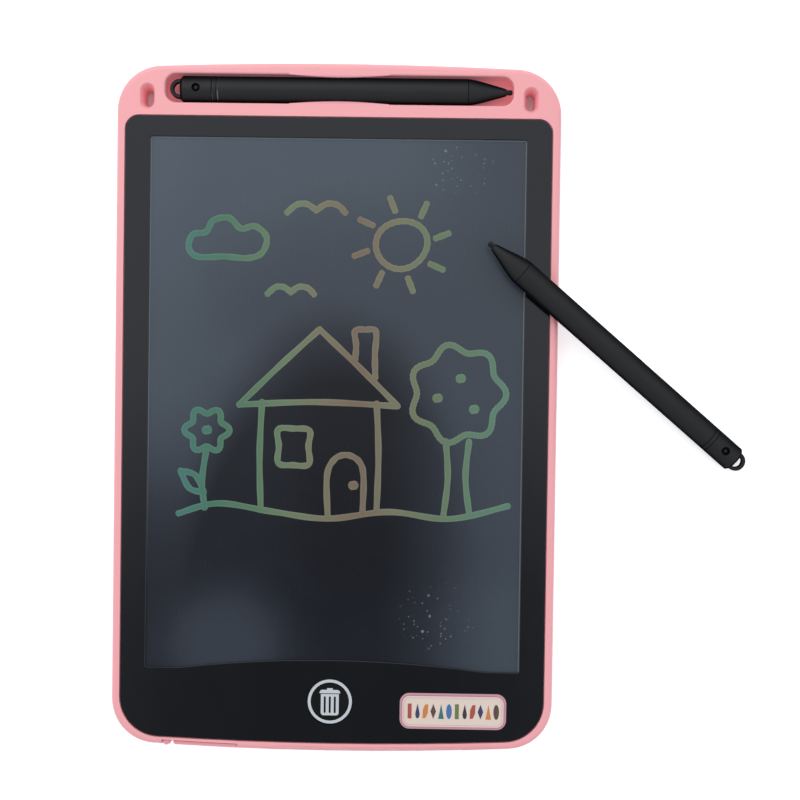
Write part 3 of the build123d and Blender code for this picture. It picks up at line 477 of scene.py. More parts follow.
def moulded_body(
    finish,
    color,
    worn,
    roughness,
    grain=plain_grain,
    grain_depth=plain_grain_depth,
    grain_strength=0.35,
    specular=0.5,
    **others,
):
    """Moulded plastic: fine spark grain, faint flow mottling, soft handling marks and scuffs."""
    place = finish.place()
    mottle = finish.noise(place, flow_size, detail=3.0)
    speck = finish.noise(place, speck_size, detail=2.0)
    handled = finish.noise(place, handling_size, detail=4.0, roughness=0.6)
    scratch_place = finish.stretched(place, scratch_stretch)
    scratch = finish.noise(scratch_place, scratch_width, detail=3.0).smooth(*scratch_range)
    scuff = scratch * handled.smooth(*handled_range)
    wear = (0.55 * mottle + 0.25 * speck + 0.3 * scuff).clipped()
    tone = finish.mix(wear, color, worn)
    gloss = (roughness + 0.1 * (handled - 0.5) + 0.06 * (speck - 0.5) + 0.1 * scuff).clipped()
    grains = finish.noise(place, grain, detail=2.0, roughness=0.6)
    height = grains - 0.3 * scuff
    relief = finish.bump(height, grain_strength, grain_depth)
    return finish.body(
        base_color=tone,
        roughness=gloss,
        normal=relief,
        specular_ior_level=specular,
        **others,
    )


def moulded(name, color, worn, roughness, **details):
    """A whole material of moulded plastic."""
    finish = Finish(name)
    return finish.done(moulded_body(finish, color, worn, roughness, **details))


def panel_black():
    """Glossy black panel with fine hairlines, dust and finger marks."""
    finish = Finish("gloss_black_panel")
    place = finish.place()
    smear = finish.noise(finish.stretched(place, smear_stretch), smear_size, detail=5.0, roughness=0.6)
    hairs_up = finish.noise(finish.stretched(place, hair_up_stretch), hair_up_width, detail=2.0)
    hairs_across = finish.noise(finish.stretched(place, hair_across_stretch), hair_across_width, detail=2.0)
    hairs = hairs_up.smooth(*hair_up_range) + 0.6 * hairs_across.smooth(*hair_across_range)
    dusty = finish.noise(place, dust_zone_size).smooth(*dust_zone_range)
    dust = (1 - finish.cells(place, dust_pitch).smooth(*dust_range)) * dusty
    tone = finish.mix((0.3 * dust + 0.02 * hairs).clipped(), shade(12, 14, 19), shade(92, 94, 98))
    gloss = (panel_roughness + 0.1 * (smear - 0.5) + 0.02 * hairs + 0.3 * dust).clipped()
    ripple = finish.noise(place, ripple_size, detail=1.0) + 0.02 * finish.noise(place, fine_ripple_size)
    relief = finish.bump(ripple, ripple_strength, ripple_depth)
    return finish.surface(base_color=tone, roughness=gloss, normal=relief)


def rounded_distance(finish, place, box, corner_radius):
    """How far a point lies outside a box's rounded outline seen from above, less than 0 inside."""
    low, high = box
    middle = (low + high) / 2
    half = (high - low) / 2
    square = 0.0
    for axis, name in enumerate("XY"):
        offset = (finish.along(place, name) - middle[axis]).math("ABSOLUTE")
        past = (offset - (half[axis] - corner_radius)).math("MAXIMUM", 0.0)
        square = past * past + square
    return square.math("SQRT") - corner_radius


def pink_shell():
    """Satin pink shell of the case, with painted shade as a redder pink and a painted faint red glow down
    in the trough and holes.
    """
    finish = Finish("satin_pink_shell")
    place = finish.place()
    outside = rounded_distance(finish, place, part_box("front_frame"), shell_corner_radius)
    inside = 1 - outside.smooth(-shell_edge_end, -shell_edge_start)
    height = finish.along(place, "Z")
    deep = inside * (1 - height.smooth(deep_low, deep_high)) * height.smooth(deep_foot_low, deep_foot_high)
    deep = deep * finish.along(place, "Y").smooth(deep_front_y, deep_front_y + deep_blur)
    at_holes = finish.along(place, "X").math("ABSOLUTE").smooth(trough_half_length, hole_inner_edge)
    # Painted glow and painted shade: down in the trough and holes the pink turns redder and glows faintly
    # red, less so at the holes.
    painted_recess_glow = deep * (1 - (1 - hole_glow_share) * at_holes)
    painted_recess_shade = deep * (1 - (1 - hole_shade_share) * at_holes)
    return finish.done(
        moulded_body(
            finish,
            finish.mix(painted_recess_shade, shade(250, 174, 177), shade(255, 150, 156)),
            finish.mix(painted_recess_shade, shade(246, 167, 171), shade(252, 142, 148)),
            0.42,
            grain=shell_grain,
            grain_depth=shell_grain_depth,
            grain_strength=0.3,
            emission_color=finish.mix(painted_recess_glow, no_light, painted_glow_colour),
            emission_strength=1.0,
        )
    )


def pink_trim():
    """The smaller pink mouldings, a little smoother, with the badge frame's two bands in it, a painted
    highlight on the raised lip and a painted shade line at the step.
    """
    finish = Finish("smooth_pink_trim")
    place = finish.place()
    outside = rounded_distance(finish, place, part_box("badge_frame"), badge_corner_radius)
    on_badge = 1 - outside.smooth(0.0, badge_band_blur)
    on_lip = 1 - outside.smooth(-badge_step_width - badge_band_blur, -badge_step_width)
    # Painted highlight: the raised lip is paler than the step.
    badge_bands_and_painted_light = finish.mix(on_lip, shade(203, 152, 163), shade(238, 204, 200))
    to_step = (outside + badge_step_width).math("ABSOLUTE")
    # Painted shade: a dark line where the step meets the lip.
    badge_bands_and_painted_light = finish.mix(0.6 * (1 - to_step.smooth(0.0, 2 * badge_band_blur)), badge_bands_and_painted_light, shade(150, 104, 112))
    return finish.done(
        moulded_body(
            finish,
            finish.mix(on_badge, shade(243, 166, 174), badge_bands_and_painted_light),
            finish.mix(on_badge, shade(236, 158, 167), badge_bands_and_painted_light),
            0.36,
            grain=trim_grain,
            grain_depth=trim_grain_depth,
            grain_strength=0.25,
        )
    )


def within(across, along, patch):
    """1 at a patch's centre on the screen, falling smoothly to 0 at its reach across and along."""
    centre, reach = patch
    side = (across - centre[0]) / reach[0]
    way = (along - centre[1]) / reach[1]
    return 1 - (side * side + way * way).smooth(0.0, 1.0)


def speck_marks(finish, place, size, share_left_out):
    """Small pale dots, one in each cell of a size, with a share of the cells left out."""
    dots = 1 - finish.cells(place, size).smooth(*speck_range)
    chance = finish.along(finish.cells(place, size, output="Color"), "X")
    return dots * chance.smooth(share_left_out - speck_fade_below, share_left_out + speck_fade_above)


def window_edge_highlight(across, along):
    """1 in the painted highlight, a fine bright line where the film meets the window's sides and top."""
    to_side = window_half_width - across.math("ABSOLUTE")
    to_top = window_top_y - along
    return 1 - to_side.math("MINIMUM", to_top).smooth(edge_highlight_width / 2, edge_highlight_width)


def film_painted_reflection(finish, place, across, along):
    """How pale the painted reflection makes the film, from 0 to 1: darkest below its middle, paler at the
    top and right, with a little uneven tone.
    """
    painted_reflection = main_rise * along.smooth(*main_rise_y) + upper_rise * along.smooth(*upper_rise_y)
    painted_reflection = painted_reflection + left_rise * (1 - across.smooth(*left_rise_x)) * along.smooth(*left_rise_y)
    painted_reflection = painted_reflection - upper_dip_depth * within(across, along, upper_dip)
    painted_reflection = (painted_reflection - within(across, along, dark_middle)).clipped()
    right = across.smooth(*right_rise_x)
    painted_reflection = painted_reflection * (1 - right) + right_level * right
    painted_reflection = painted_reflection + lower_left_rise * (1 - across.smooth(*lower_left_x)) * (1 - along.smooth(*lower_left_y))
    painted_reflection = painted_reflection + foot_rise * (1 - along.smooth(*foot_rise_y))
    patch = within(across, along, low_patch)
    painted_reflection = painted_reflection + low_patch_rise * patch * patch
    cloud = finish.noise(place, cloud_size, detail=3.0)
    fine = finish.noise(place, fine_haze_size, detail=2.0)
    return (painted_reflection + cloud_rise * (cloud - 0.5) + fine_haze_rise * (fine - 0.5)).clipped()


def film_specks(finish, place, across, along):
    """1 in the pale specks, which lie in two zones of the film."""
    flat_place = finish.stretched(place, flattened)
    zone = within(across, along, upper_speck_zone) + within(across, along, lower_speck_zone)
    large = speck_marks(finish, flat_place, large_speck_pitch, large_specks_left_out)
    marks = large_speck_strength * large
    small = speck_marks(finish, flat_place, small_speck_pitch, small_specks_left_out)
    marks = marks + small_speck_strength * small
    return (marks * zone.smooth(*speck_zone_range)).clipped()


def writing_film():
    """Dark writing film: an uneven slate haze that is a painted reflection of the lights, a soft sheen and
    specks.
    """
    finish = Finish("slate_writing_film")
    place = finish.place()
    across = finish.along(place, "X")
    along = finish.along(place, "Y")
    # The tone carries the painted reflection, pale at the top and right and darkest below the middle.
    tone = finish.ramp(
        film_painted_reflection(finish, place, across, along),
        [
            (0.0, shade(12, 15, 22)),
            (0.35, shade(38, 42, 51)),
            (0.7, shade(61, 69, 78)),
            (1.0, shade(76, 86, 96)),
        ],
    )
    tone = finish.mix(film_specks(finish, place, across, along), tone, shade(124, 138, 140))
    # Painted highlight along the window's edge, left out towards the lower left corner.
    dim_corner = (1 - across.smooth(*dim_corner_x)) * (1 - along.smooth(*dim_corner_y))
    edge_highlight = window_edge_highlight(across, along) * (1 - dim_corner)
    tone = finish.mix(edge_highlight_strength * edge_highlight, tone, shade(128, 138, 144))
    hairs = finish.noise(finish.stretched(place, film_hair_stretch), film_hair_width)
    hairs = hairs.smooth(*film_hair_range)
    wiped = finish.noise(finish.stretched(place, wipe_stretch), wipe_size, detail=4.0)
    gloss = (film_roughness + 0.1 * (wiped - 0.5) + 0.06 * hairs).clipped()
    relief = finish.bump(finish.noise(place, film_grain), 0.12, film_grain_depth)
    return finish.surface(base_color=tone, roughness=gloss, normal=relief, specular_ior_level=film_specular)


def drawn_line():
    """The coloured line that a stylus leaves, running from teal through tan to green."""
    finish = Finish("drawn_line_colours")
    place = finish.place()
    share = (finish.along(place, "X") - line_left_x) / line_reach
    core = finish.ramp(
        share,
        [
            (0.03, shade(62, 115, 107)),
            (0.13, shade(62, 113, 89)),
            (0.25, shade(84, 116, 87)),
            (0.33, shade(101, 120, 91)),
            (0.43, shade(116, 111, 86)),
            (0.53, shade(114, 98, 80)),
            (0.63, shade(115, 113, 89)),
            (0.73, shade(100, 116, 87)),
            (0.86, shade(88, 123, 99)),
            (1.0, shade(86, 125, 108)),
        ],
    )
    edge = finish.node(
        "ShaderNodeAttribute", {"attribute_name": "line_edge", "attribute_type": "GEOMETRY"}, output="Fac"
    )
    pressure = finish.noise(place, pressure_size, detail=3.0)
    pale = finish.mix(line_paleness, core, shade(160, 172, 156))
    tone = finish.mix((edge.smooth(*line_edge_range) * 0.7 + 0.4 * (pressure - 0.4)).clipped(), core, pale)
    gloss = (line_roughness + 0.1 * (pressure - 0.5)).clipped()
    relief = finish.bump(finish.noise(place, line_grain), 0.12, line_grain_depth)
    return finish.surface(base_color=tone, roughness=gloss, normal=relief)


def dimple_shade_mask(across, along):
    """1 round the pips in the dimples of the two end caps, where shade is painted."""
    mask = 0.0
    for x, y in dimple_places:
        side = across - x
        way = along - y
        reach = (side * side + way * way).math("SQRT")
        ring = reach.smooth(dimple_inner - dimple_blur, dimple_inner)
        mask = ring * (1 - reach.smooth(dimple_outer, dimple_outer + dimple_blur)) + mask
    return mask


def seam_highlight_lines(across, along):
    """1 on the edges of the stowed stylus's seam and groove, where a highlight is painted."""
    mask = 0.0
    for x in seam_highlight_places:
        mask = 1 - (across - x).math("ABSOLUTE").smooth(seam_highlight_width / 3, seam_highlight_width) + mask
    off_axis = along - stowed_axis_y
    on_stowed = 1 - off_axis.math("ABSOLUTE").smooth(0.8 * stowed_half_width, stowed_half_width)
    return mask * on_stowed * (1 - off_axis.smooth(-seam_highlight_fade, seam_highlight_fade) * seam_highlight_far_dimming)


def stylus_plastic():
    """Dark satin stylus plastic, rubbed along its length, with painted shade where it turns away and in the
    dimples and painted highlights on the stowed stylus's seam and groove.
    """
    finish = Finish("satin_stylus_plastic")
    place = finish.place()
    across = finish.along(place, "X")
    along = finish.along(place, "Y")
    grains = finish.noise(place, stylus_grain, detail=3.0, roughness=0.6)
    rub = finish.noise(place, rub_size, detail=5.0, roughness=0.65)
    flow = finish.noise(place, stylus_flow_size, detail=2.0)
    wear = (0.6 * flow + 0.5 * rub.smooth(*rub_range)).clipped()
    tone = finish.mix(wear, shade(14, 14, 16), shade(24, 24, 27))
    # Painted highlight: paler lines on the edges of the stowed stylus's seam and groove, broken up by the
    # rub noise.
    worn = seam_highlight_lines(across, along) * rub.smooth(*seam_highlight_range)
    tone = finish.mix(seam_highlight_strength * worn, tone, shade(150, 152, 154))
    gloss = (satin_roughness + 0.16 * (rub - 0.5) + 0.08 * (grains - 0.5)).clipped()
    relief = finish.bump(grains, 0.35, stylus_grain_depth)
    satin = finish.body(
        base_color=tone, roughness=gloss, normal=relief, specular_ior_level=satin_specular
    )
    # Painted shade: the matt near-black body below is mixed in where the surface turns away and in the
    # dimples.
    dull = finish.body(base_color=shade(14, 14, 15), roughness=shade_body_roughness, specular_ior_level=0.0)
    turned = finish.node("ShaderNodeLayerWeight", None, {"Blend": 0.5}, output="Facing")
    share = turned_shading * turned.smooth(*turned_range) + dimple_shading * dimple_shade_mask(across, along)
    share = share.clipped()
    return finish.done(finish.node("ShaderNodeMixShader", None, {0: share, 1: satin, 2: dull}))


def printed_grey():
    """Pale grey inlay of the ring and the bin, slightly uneven."""
    return moulded(
        "pale_grey_inlay",
        shade(206, 210, 213),
        shade(184, 190, 194),
        0.45,
        grain=inlay_grain,
        grain_depth=inlay_grain_depth,
    )


def metal(name, color, dull, roughness):
    """Plated sheet metal with a fine brushed grain and a little tarnish."""
    finish = Finish(name)
    place = finish.place()
    lines = finish.noise(finish.stretched(place, brush_stretch), brush_width, detail=3.0)
    tarnish = finish.noise(place, tarnish_size, detail=4.0, roughness=0.6).smooth(*tarnish_range)
    tone = finish.mix(tarnish, color, dull)
    gloss = (roughness + 0.16 * (lines - 0.5) + 0.14 * tarnish).clipped()
    relief = finish.bump(lines, 0.15, brush_depth)
    return finish.surface(base_color=tone, metallic=1.0, roughness=gloss, normal=relief)


def circuit_green():
    """Solder mask with copper tracks under it and bare pads."""
    finish = Finish("green_solder_mask")
    place = finish.place()
    track_place = finish.stretched(place, flattened)
    tracks = 1 - finish.cells(track_place, track_pitch, "DISTANCE_TO_EDGE").smooth(*track_range)
    vias = 1 - finish.cells(track_place, via_pitch).smooth(*via_range)
    weave = finish.noise(place, weave_size, detail=2.0)
    mask = finish.mix((0.6 * tracks + 0.2 * weave).clipped(), shade(12, 62, 38), shade(36, 104, 62))
    tone = finish.mix(vias, mask, shade(190, 176, 128))
    gloss = (board_roughness + 0.1 * weave + 0.1 * vias).clipped()
    relief = finish.bump(tracks + 0.2 * weave, 0.3, track_depth)
    return finish.surface(base_color=tone, roughness=gloss, normal=relief)


def tinned(name, body_color, worn, length):
    """A row of small soldered parts: dull bodies with bright tinned ends."""
    finish = Finish(name)
    place = finish.place()
    row_start = first_small_part_x - small_part_pitch / 2
    along_row = (finish.along(place, "X") - row_start) / small_part_pitch
    offset = (along_row.math("FRACT") - 0.5).math("ABSOLUTE") * (2 * small_part_pitch / length)
    ends = offset.smooth(1 - tinned_share - tinned_blur, 1 - tinned_share + tinned_blur)
    mottle = finish.noise(place, tinned_mottle_size, detail=3.0)
    body = finish.mix(mottle, body_color, worn)
    tone = finish.mix(ends, body, shade(196, 196, 192))
    gloss = (tinned_roughness - 0.15 * ends + 0.15 * (mottle - 0.5)).clipped()
    relief = finish.bump(mottle, 0.3, tinned_relief)
    return finish.surface(base_color=tone, metallic=ends, roughness=gloss, normal=relief)


def amber_tail():
    """Amber film with the copper tracks showing through."""
    finish = Finish("amber_tail_film")
    place = finish.place()
    lanes = (finish.along(place, "X") / lane_pitch).math("FRACT")
    tracks = (lanes - 0.5).math("ABSOLUTE").smooth(*lane_range)
    cloud = finish.noise(place, lane_cloud_size, detail=3.0)
    tone = finish.mix((0.7 * tracks + 0.3 * cloud).clipped(), shade(150, 92, 34), shade(196, 128, 52))
    gloss = (tail_roughness + 0.12 * cloud).clipped()
    relief = finish.bump(tracks, 0.3, lane_depth)
    return finish.surface(base_color=tone, roughness=gloss, normal=relief)


def cream_plate():
    """Cream plate of the badge, slightly yellowed and rubbed."""
    return moulded(
        "cream_badge_plate",
        shade(233, 216, 203),
        shade(223, 203, 186),
        0.4,
        grain=plate_grain,
        grain_depth=plate_grain_depth,
    )


def slot_finishes():
    """The finish of each material slot of the record."""
    return {
        "pink_shell": pink_shell(),
        "pink_trim": pink_trim(),
        "black_panel": panel_black(),
        "clear_adhesive": moulded("milky_adhesive", shade(206, 206, 200), shade(188, 186, 176), 0.3),
        "writing_film": writing_film(),
        "crystal_layer": moulded("dark_crystal_layer", shade(40, 56, 60), shade(52, 74, 74), 0.3),
        "black_film": moulded("matt_black_film", shade(16, 16, 17), shade(26, 26, 28), 0.55),
        "backing_plastic": moulded("grey_backing_board", shade(54, 54, 56), shade(66, 66, 68), 0.6),
        "flex_tail": amber_tail(),
        "circuit_board": circuit_green(),
        "screw_steel": metal("zinc_plated_screw", shade(192, 194, 198), shade(150, 152, 156), 0.3),
        "switch_plastic": moulded("black_switch_plastic", shade(24, 24, 25), shade(38, 38, 40), 0.5),
        "switch_metal": metal("stamped_switch_metal", shade(200, 200, 198), shade(160, 158, 150), 0.28),
        "button_black": moulded(
            "black_button_cap",
            shade(5, 6, 8),
            shade(12, 13, 15),
            0.26,
            grain_depth=hard_grain_depth,
            specular=0.36,
        ),
        "print_grey": printed_grey(),
        "chip_black": moulded("black_chip_moulding", shade(22, 22, 23), shade(34, 34, 36), 0.6),
        "ferrite": moulded(
            "sintered_ferrite", shade(50, 50, 52), shade(70, 70, 72), 0.7, grain=ferrite_grain
        ),
        "ceramic": tinned(
            "tan_ceramic_tinned", shade(168, 132, 92), shade(186, 150, 108), capacitor_length
        ),
        "resistor_body": tinned(
            "black_glaze_tinned", shade(24, 24, 28), shade(40, 40, 46), resistor_length
        ),
        "contact_metal": metal("nickel_contact_strip", shade(206, 202, 190), shade(170, 164, 148), 0.25),
        "cell_steel": metal("nickel_cell_steel", shade(208, 208, 206), shade(176, 176, 172), 0.22),
        "gasket_black": moulded("dark_gasket", shade(28, 28, 30), shade(44, 44, 46), 0.5),
        "badge_cream": cream_plate(),
        "stylus_black": stylus_plastic(),
        "nib_black": moulded(
            "hard_nib", shade(8, 8, 9), shade(20, 20, 22), 0.35, grain_depth=hard_grain_depth, specular=0.3
        ),
    }


def dress_cad_nodes(finishes):
    """Gives every CAD node the finish of its slot."""
    for subpart in frame["record"]["subparts"]:
        mesh = frame["nodes"][subpart["node"]].data
        mesh.materials.clear()
        mesh.materials.append(finishes[subpart["material_slot"]])


def new_piece(name, mesh_build, finish, body):
    """Makes one piece from a bmesh, gives it its finish and lets it ride on a body."""
    mesh = bpy.data.meshes.new(name)
    mesh_build.normal_update()
    mesh_build.to_mesh(mesh)
    mesh_build.free()
    piece = bpy.data.objects.new(name, mesh)
    bpy.context.scene.collection.objects.link(piece)
    mesh.materials.append(finish)
    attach(piece, body)
    return piece


def smooth_path(points):
    """A smooth line through given points, in millimetres: a Catmull-Rom spline."""
    path = []
    closed = points[0] == points[-1]
    last = len(points) - 1
    for index in range(last):
        start = Vector(points[index])
        end = Vector(points[index + 1])
        before = Vector(points[index - 1 if index else (last - 1 if closed else 0)])
        after = Vector(points[index + 2 if index + 2 <= last else (1 if closed else last)])
        for step in range(curve_steps):
            share = step / curve_steps
            path.append(
                0.5
                * (
                    2 * start
                    + (end - before) * share
                    + (2 * before - 5 * start + 4 * end - after) * share**2
                    + (3 * start - before - 3 * end + after) * share**3
                )
            )
    path.append(Vector(points[-1]))
    return path


def stroke_spine(path, half, closed):
    """The points along a stroke, each with its share of the full width."""
    if closed:
        return [(point, 1.0) for point in path[:-1]]
    ahead = (path[1] - path[0]).normalized()
    behind = (path[-1] - path[-2]).normalized()
    caps = [(share, math.sqrt(1 - (1 - share) ** 2)) for share in cap_shares]
    spine = [(path[0] - ahead * half * (1 - share), width_share) for share, width_share in caps]
    spine += [(point, 1.0) for point in path]
    return spine + [
        (path[-1] + behind * half * (1 - share), width_share) for share, width_share in reversed(caps)
    ]


def stroke_ring(build, edge_layer, point, side, rise, height):
    """The points round a stroke at one place: its edges, its two shoulders, its crown and its foot."""
    ring = []
    for place, above, edge in (
        (point + side, 0.0, 1.0),
        (point + side * stroke_shoulder, rise, shoulder_edge),
        (point, rise, 0.0),
        (point - side * stroke_shoulder, rise, shoulder_edge),
        (point - side, 0.0, 1.0),
        (point, -stroke_step, 0.0),
    ):
        vertex = build.verts.new((place.x, place.y, height + above))
        vertex[edge_layer] = edge
        ring.append(vertex)
    return ring


def add_stroke(build, edge_layer, points, height, width=stroke_width):
    """One drawn stroke: a shallow crowned ribbon, either closed on itself or with round ends."""
    path = [point * MM for point in smooth_path(points)]
    half = width / 2
    closed = points[0] == points[-1]
    spine = stroke_spine(path, half, closed)
    last = len(spine) - 1
    rings = []
    for index, (point, width_share) in enumerate(spine):
        near = spine[index - 1 if index else (last if closed else 0)][0]
        far = spine[index + 1 if index < last else (0 if closed else last)][0]
        along = (far - near).normalized()
        waver = 1 + stroke_waver * math.sin(waver_turn * index)
        side = Vector((-along.y, along.x)) * half * width_share * waver
        rings.append(stroke_ring(build, edge_layer, point, side, stroke_rise * width_share, height))
    following = rings[1:] + rings[:1] if closed else rings[1:]
    for first, second in zip(rings, following):
        for index in range(len(first)):
            after = (index + 1) % len(first)
            build.faces.new((first[index], first[after], second[after], second[index]))
    if not closed:
        build.faces.new(rings[0])
        build.faces.new(list(reversed(rings[-1])))


def oval_point(centre, size, angle, swell):
    """A point on an oval's outline, pushed out by a swell."""
    x = centre[0] + size[0] * swell * math.cos(angle)
    y = centre[1] + size[1] * swell * math.sin(angle)
    return (x, y)


def loop_points(centre, size, steps):
    """Points on a hand-drawn oval, slightly uneven."""
    points = []
    for step in range(steps):
        angle = 2 * math.pi * step / steps
        uneven = 1 + oval_wobble * math.sin(2 * angle + 0.7) + oval_wobble * 0.5 * math.sin(3 * angle)
        points.append(oval_point(centre, size, angle, uneven))
    return points + points[:1]


def bumpy_points(centre, size, bumps, swell_share):
    """Points on the outline of a flower or a tree's crown."""
    points = []
    steps = bumps * bump_steps
    for step in range(steps):
        angle = 2 * math.pi * step / steps
        points.append(oval_point(centre, size, angle, 1 + swell_share * math.cos(bumps * angle)))
    return points + points[:1]


def sun_rays():
    """The short strokes round the sun, each leaning a little."""
    rays = []
    for ray in range(ray_count):
        angle = 2 * math.pi * ray / ray_count + ray_turn
        near = oval_point(sun_centre, ray_start, angle, 1)
        far = oval_point(sun_centre, ray_end, angle + ray_lean, 1)
        rays.append([near, far])
    return rays


def drawing_strokes():
    """A plain child's drawing: a house, a tree, the sun, a cloud, a flower, birds and a hill line."""
    hill = [[(-51, -35), (-38, -31.5), (-20, -34), (-2, -36), (18, -33.5), (38, -35.5), (57, -31)]]
    walls_and_roof = [
        [(-24, -33.5), (-24.6, -16), (-24, 2)],
        [(14, -33.5), (14.4, -15), (13.6, 2)],
        [(-31.5, 1), (-18.5, 13.8), (-5.4, 26)],
        [(-5.4, 26), (7.5, 14), (20.5, 1.2)],
        [(-31.5, 1), (-6, 2.2), (20.5, 1.2)],
    ]
    door_window_chimney = [
        [(-2, -35), (-2.4, -22), (0, -16.5), (4, -15), (8, -17), (9.6, -22), (9.4, -34)],
        [(-18.6, -7), (-18.3, -12.5), (-18.4, -18), (-13.5, -18.6), (-8.4, -18.2), (-8.6, -12.4)]
        + [(-8.3, -7.2), (-13.4, -6.6), (-18.6, -7)],
        [(6.4, 16.5), (6.6, 21), (6.2, 25.6), (9.6, 26.1), (13, 25.5), (12.8, 18), (13, 10.4)],
    ]
    tree = [
        [(36, -34), (37.2, -22), (36.4, -10)],
        [(44.5, -34.5), (43, -22), (44, -10)],
        bumpy_points(crown_centre, crown_size, crown_bumps, crown_swell),
    ]
    sun = [loop_points(sun_centre, sun_size, sun_steps)]
    cloud = [
        [(-45.4, 49.2), (-48.6, 52), (-47.4, 56.4), (-43, 57.4), (-40.6, 61.2), (-35.4, 62), (-31.6, 58.6)]
        + [(-27, 59.4), (-23.2, 56), (-24.4, 51), (-29, 49), (-37, 49.4), (-45.4, 49.2)],
    ]
    birds = [
        [(-16.5, 64), (-13.4, 66.6), (-10, 66.8), (-7, 64.8)],
        [(-7, 64.8), (-3.6, 67), (0, 66.6), (2.5, 64.2)],
        [(-22.6, 37.4), (-20, 39.6), (-17.2, 39.6), (-15, 38)],
        [(-15, 38), (-12.4, 39.8), (-9.4, 39.4), (-7.4, 37.4)],
    ]
    flower = [
        [(-42.5, -33), (-43.4, -24), (-42.2, -14.6)],
        [(-42.8, -28), (-47.6, -26.6), (-50.5, -21)],
        [(-50.5, -21), (-45.6, -22.4), (-42.8, -28)],
        bumpy_points(flower_centre, flower_size, petal_count, petal_swell),
    ]
    return hill + walls_and_roof + door_window_chimney + tree + sun + cloud + birds + flower + sun_rays()


def screen_drawing():
    """The drawing on the writing film, as one piece of thin coloured strokes."""
    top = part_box("lcd_front_film")[1].z
    build = bmesh.new()
    edge_layer = build.verts.layers.float.new("line_edge")
    for index, points in enumerate(drawing_strokes()):
        add_stroke(build, edge_layer, points, top + stroke_step * (1 + layer_share * index))
    for x, y in (flower_centre, *fruit_places, door_knob_place):
        ends = [(x - dot_stretch[0], y), (x + dot_stretch[0], y + dot_stretch[1])]
        add_stroke(build, edge_layer, ends, top + stroke_step, dot_width)
    return new_piece("screen_drawing", build, drawn_line(), "case")


def mark_outline(kind):
    """The outline of one slim badge mark, in shares of its half width and half height."""
    if kind == "oval":
        turns = [2 * math.pi * step / mark_sides for step in range(mark_sides)]
        return [(math.cos(turn), math.sin(turn)) for turn in turns]
    outlines = {
        "triangle": [(-1.0, -1.0), (1.0, -1.0), (0.0, 1.0)],
        "bar": [(-0.7, -1.0), (0.7, -1.0), (0.7, 1.0), (-0.7, 1.0)],
        "diamond": [(0.0, -1.0), (1.0, 0.0), (0.0, 1.0), (-1.0, 0.0)],
        "leaf": [(-1.0, -0.95), (0.1, -0.9), (0.9, -0.2), (1.0, 0.95), (-0.1, 0.9), (-0.9, 0.2)],
        "drop": [(0.0, 1.0), (-0.55, 0.1), (-0.8, -0.4), (-0.55, -0.85), (0.0, -1.0)]
        + [(0.55, -0.85), (0.8, -0.4), (0.55, 0.1)],
    }
    return outlines[kind]


def badge_inks():
    """The plain colours of the badge's marks."""
    colours = {
        "brick": shade(178, 82, 70),
        "umber": shade(96, 70, 62),
        "olive": shade(112, 126, 66),
        "navy": shade(52, 62, 104),
        "teal": shade(52, 118, 116),
        "black": shade(52, 50, 54),
        "orange": shade(214, 134, 70),
        "blue": shade(72, 118, 172),
    }
    inks = []
    for name, tone in colours.items():
        dim = tuple(mark_ink_dimming * part for part in tone[:3]) + (1.0,)
        inks.append(moulded(f"{name}_badge_ink", tone, dim, 0.42))
    return inks


def mark_build(outline, foot):
    """One badge mark: its outline raised by the height of a mark."""
    build = bmesh.new()
    lower = [build.verts.new((x, y, foot)) for x, y in outline]
    upper = [build.verts.new((x, y, foot + mark_height)) for x, y in outline]
    build.faces.new(list(reversed(lower)))
    build.faces.new(upper)
    for step in range(len(outline)):
        after = (step + 1) % len(outline)
        build.faces.new((lower[step], lower[after], upper[after], upper[step]))
    return build


def badge_marks():
    """A row of small plain coloured shapes across the badge."""
    low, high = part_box("badge_plate")
    middle = (low + high) / 2
    inks = badge_inks()
    kinds = ["bar", "oval", "triangle", "diamond", "leaf", "drop"]
    for index in range(mark_count):
        kind = kinds[(index * kind_stride) % len(kinds)]
        ink = inks[(index * ink_stride) % len(inks)]
        centre_x = middle.x + (index - (mark_count - 1) / 2) * mark_pitch
        outline = [
            (centre_x + mark_half_width * across, middle.y + mark_half_height * up)
            for across, up in mark_outline(kind)
        ]
        name = f"badge_mark_{index + 1}_{kind}"
        new_piece(name, mark_build(outline, high.z), ink, "case")


def seen_directly(finish):
    """1 for the rays that show the floor to the eye, straight or in gloss and glass."""
    rays = "ShaderNodeLightPath"
    return (
        finish.node(rays, output="Is Camera Ray")
        + finish.node(rays, output="Is Glossy Ray")
        + finish.node(rays, output="Is Transmission Ray")
    ).clipped()


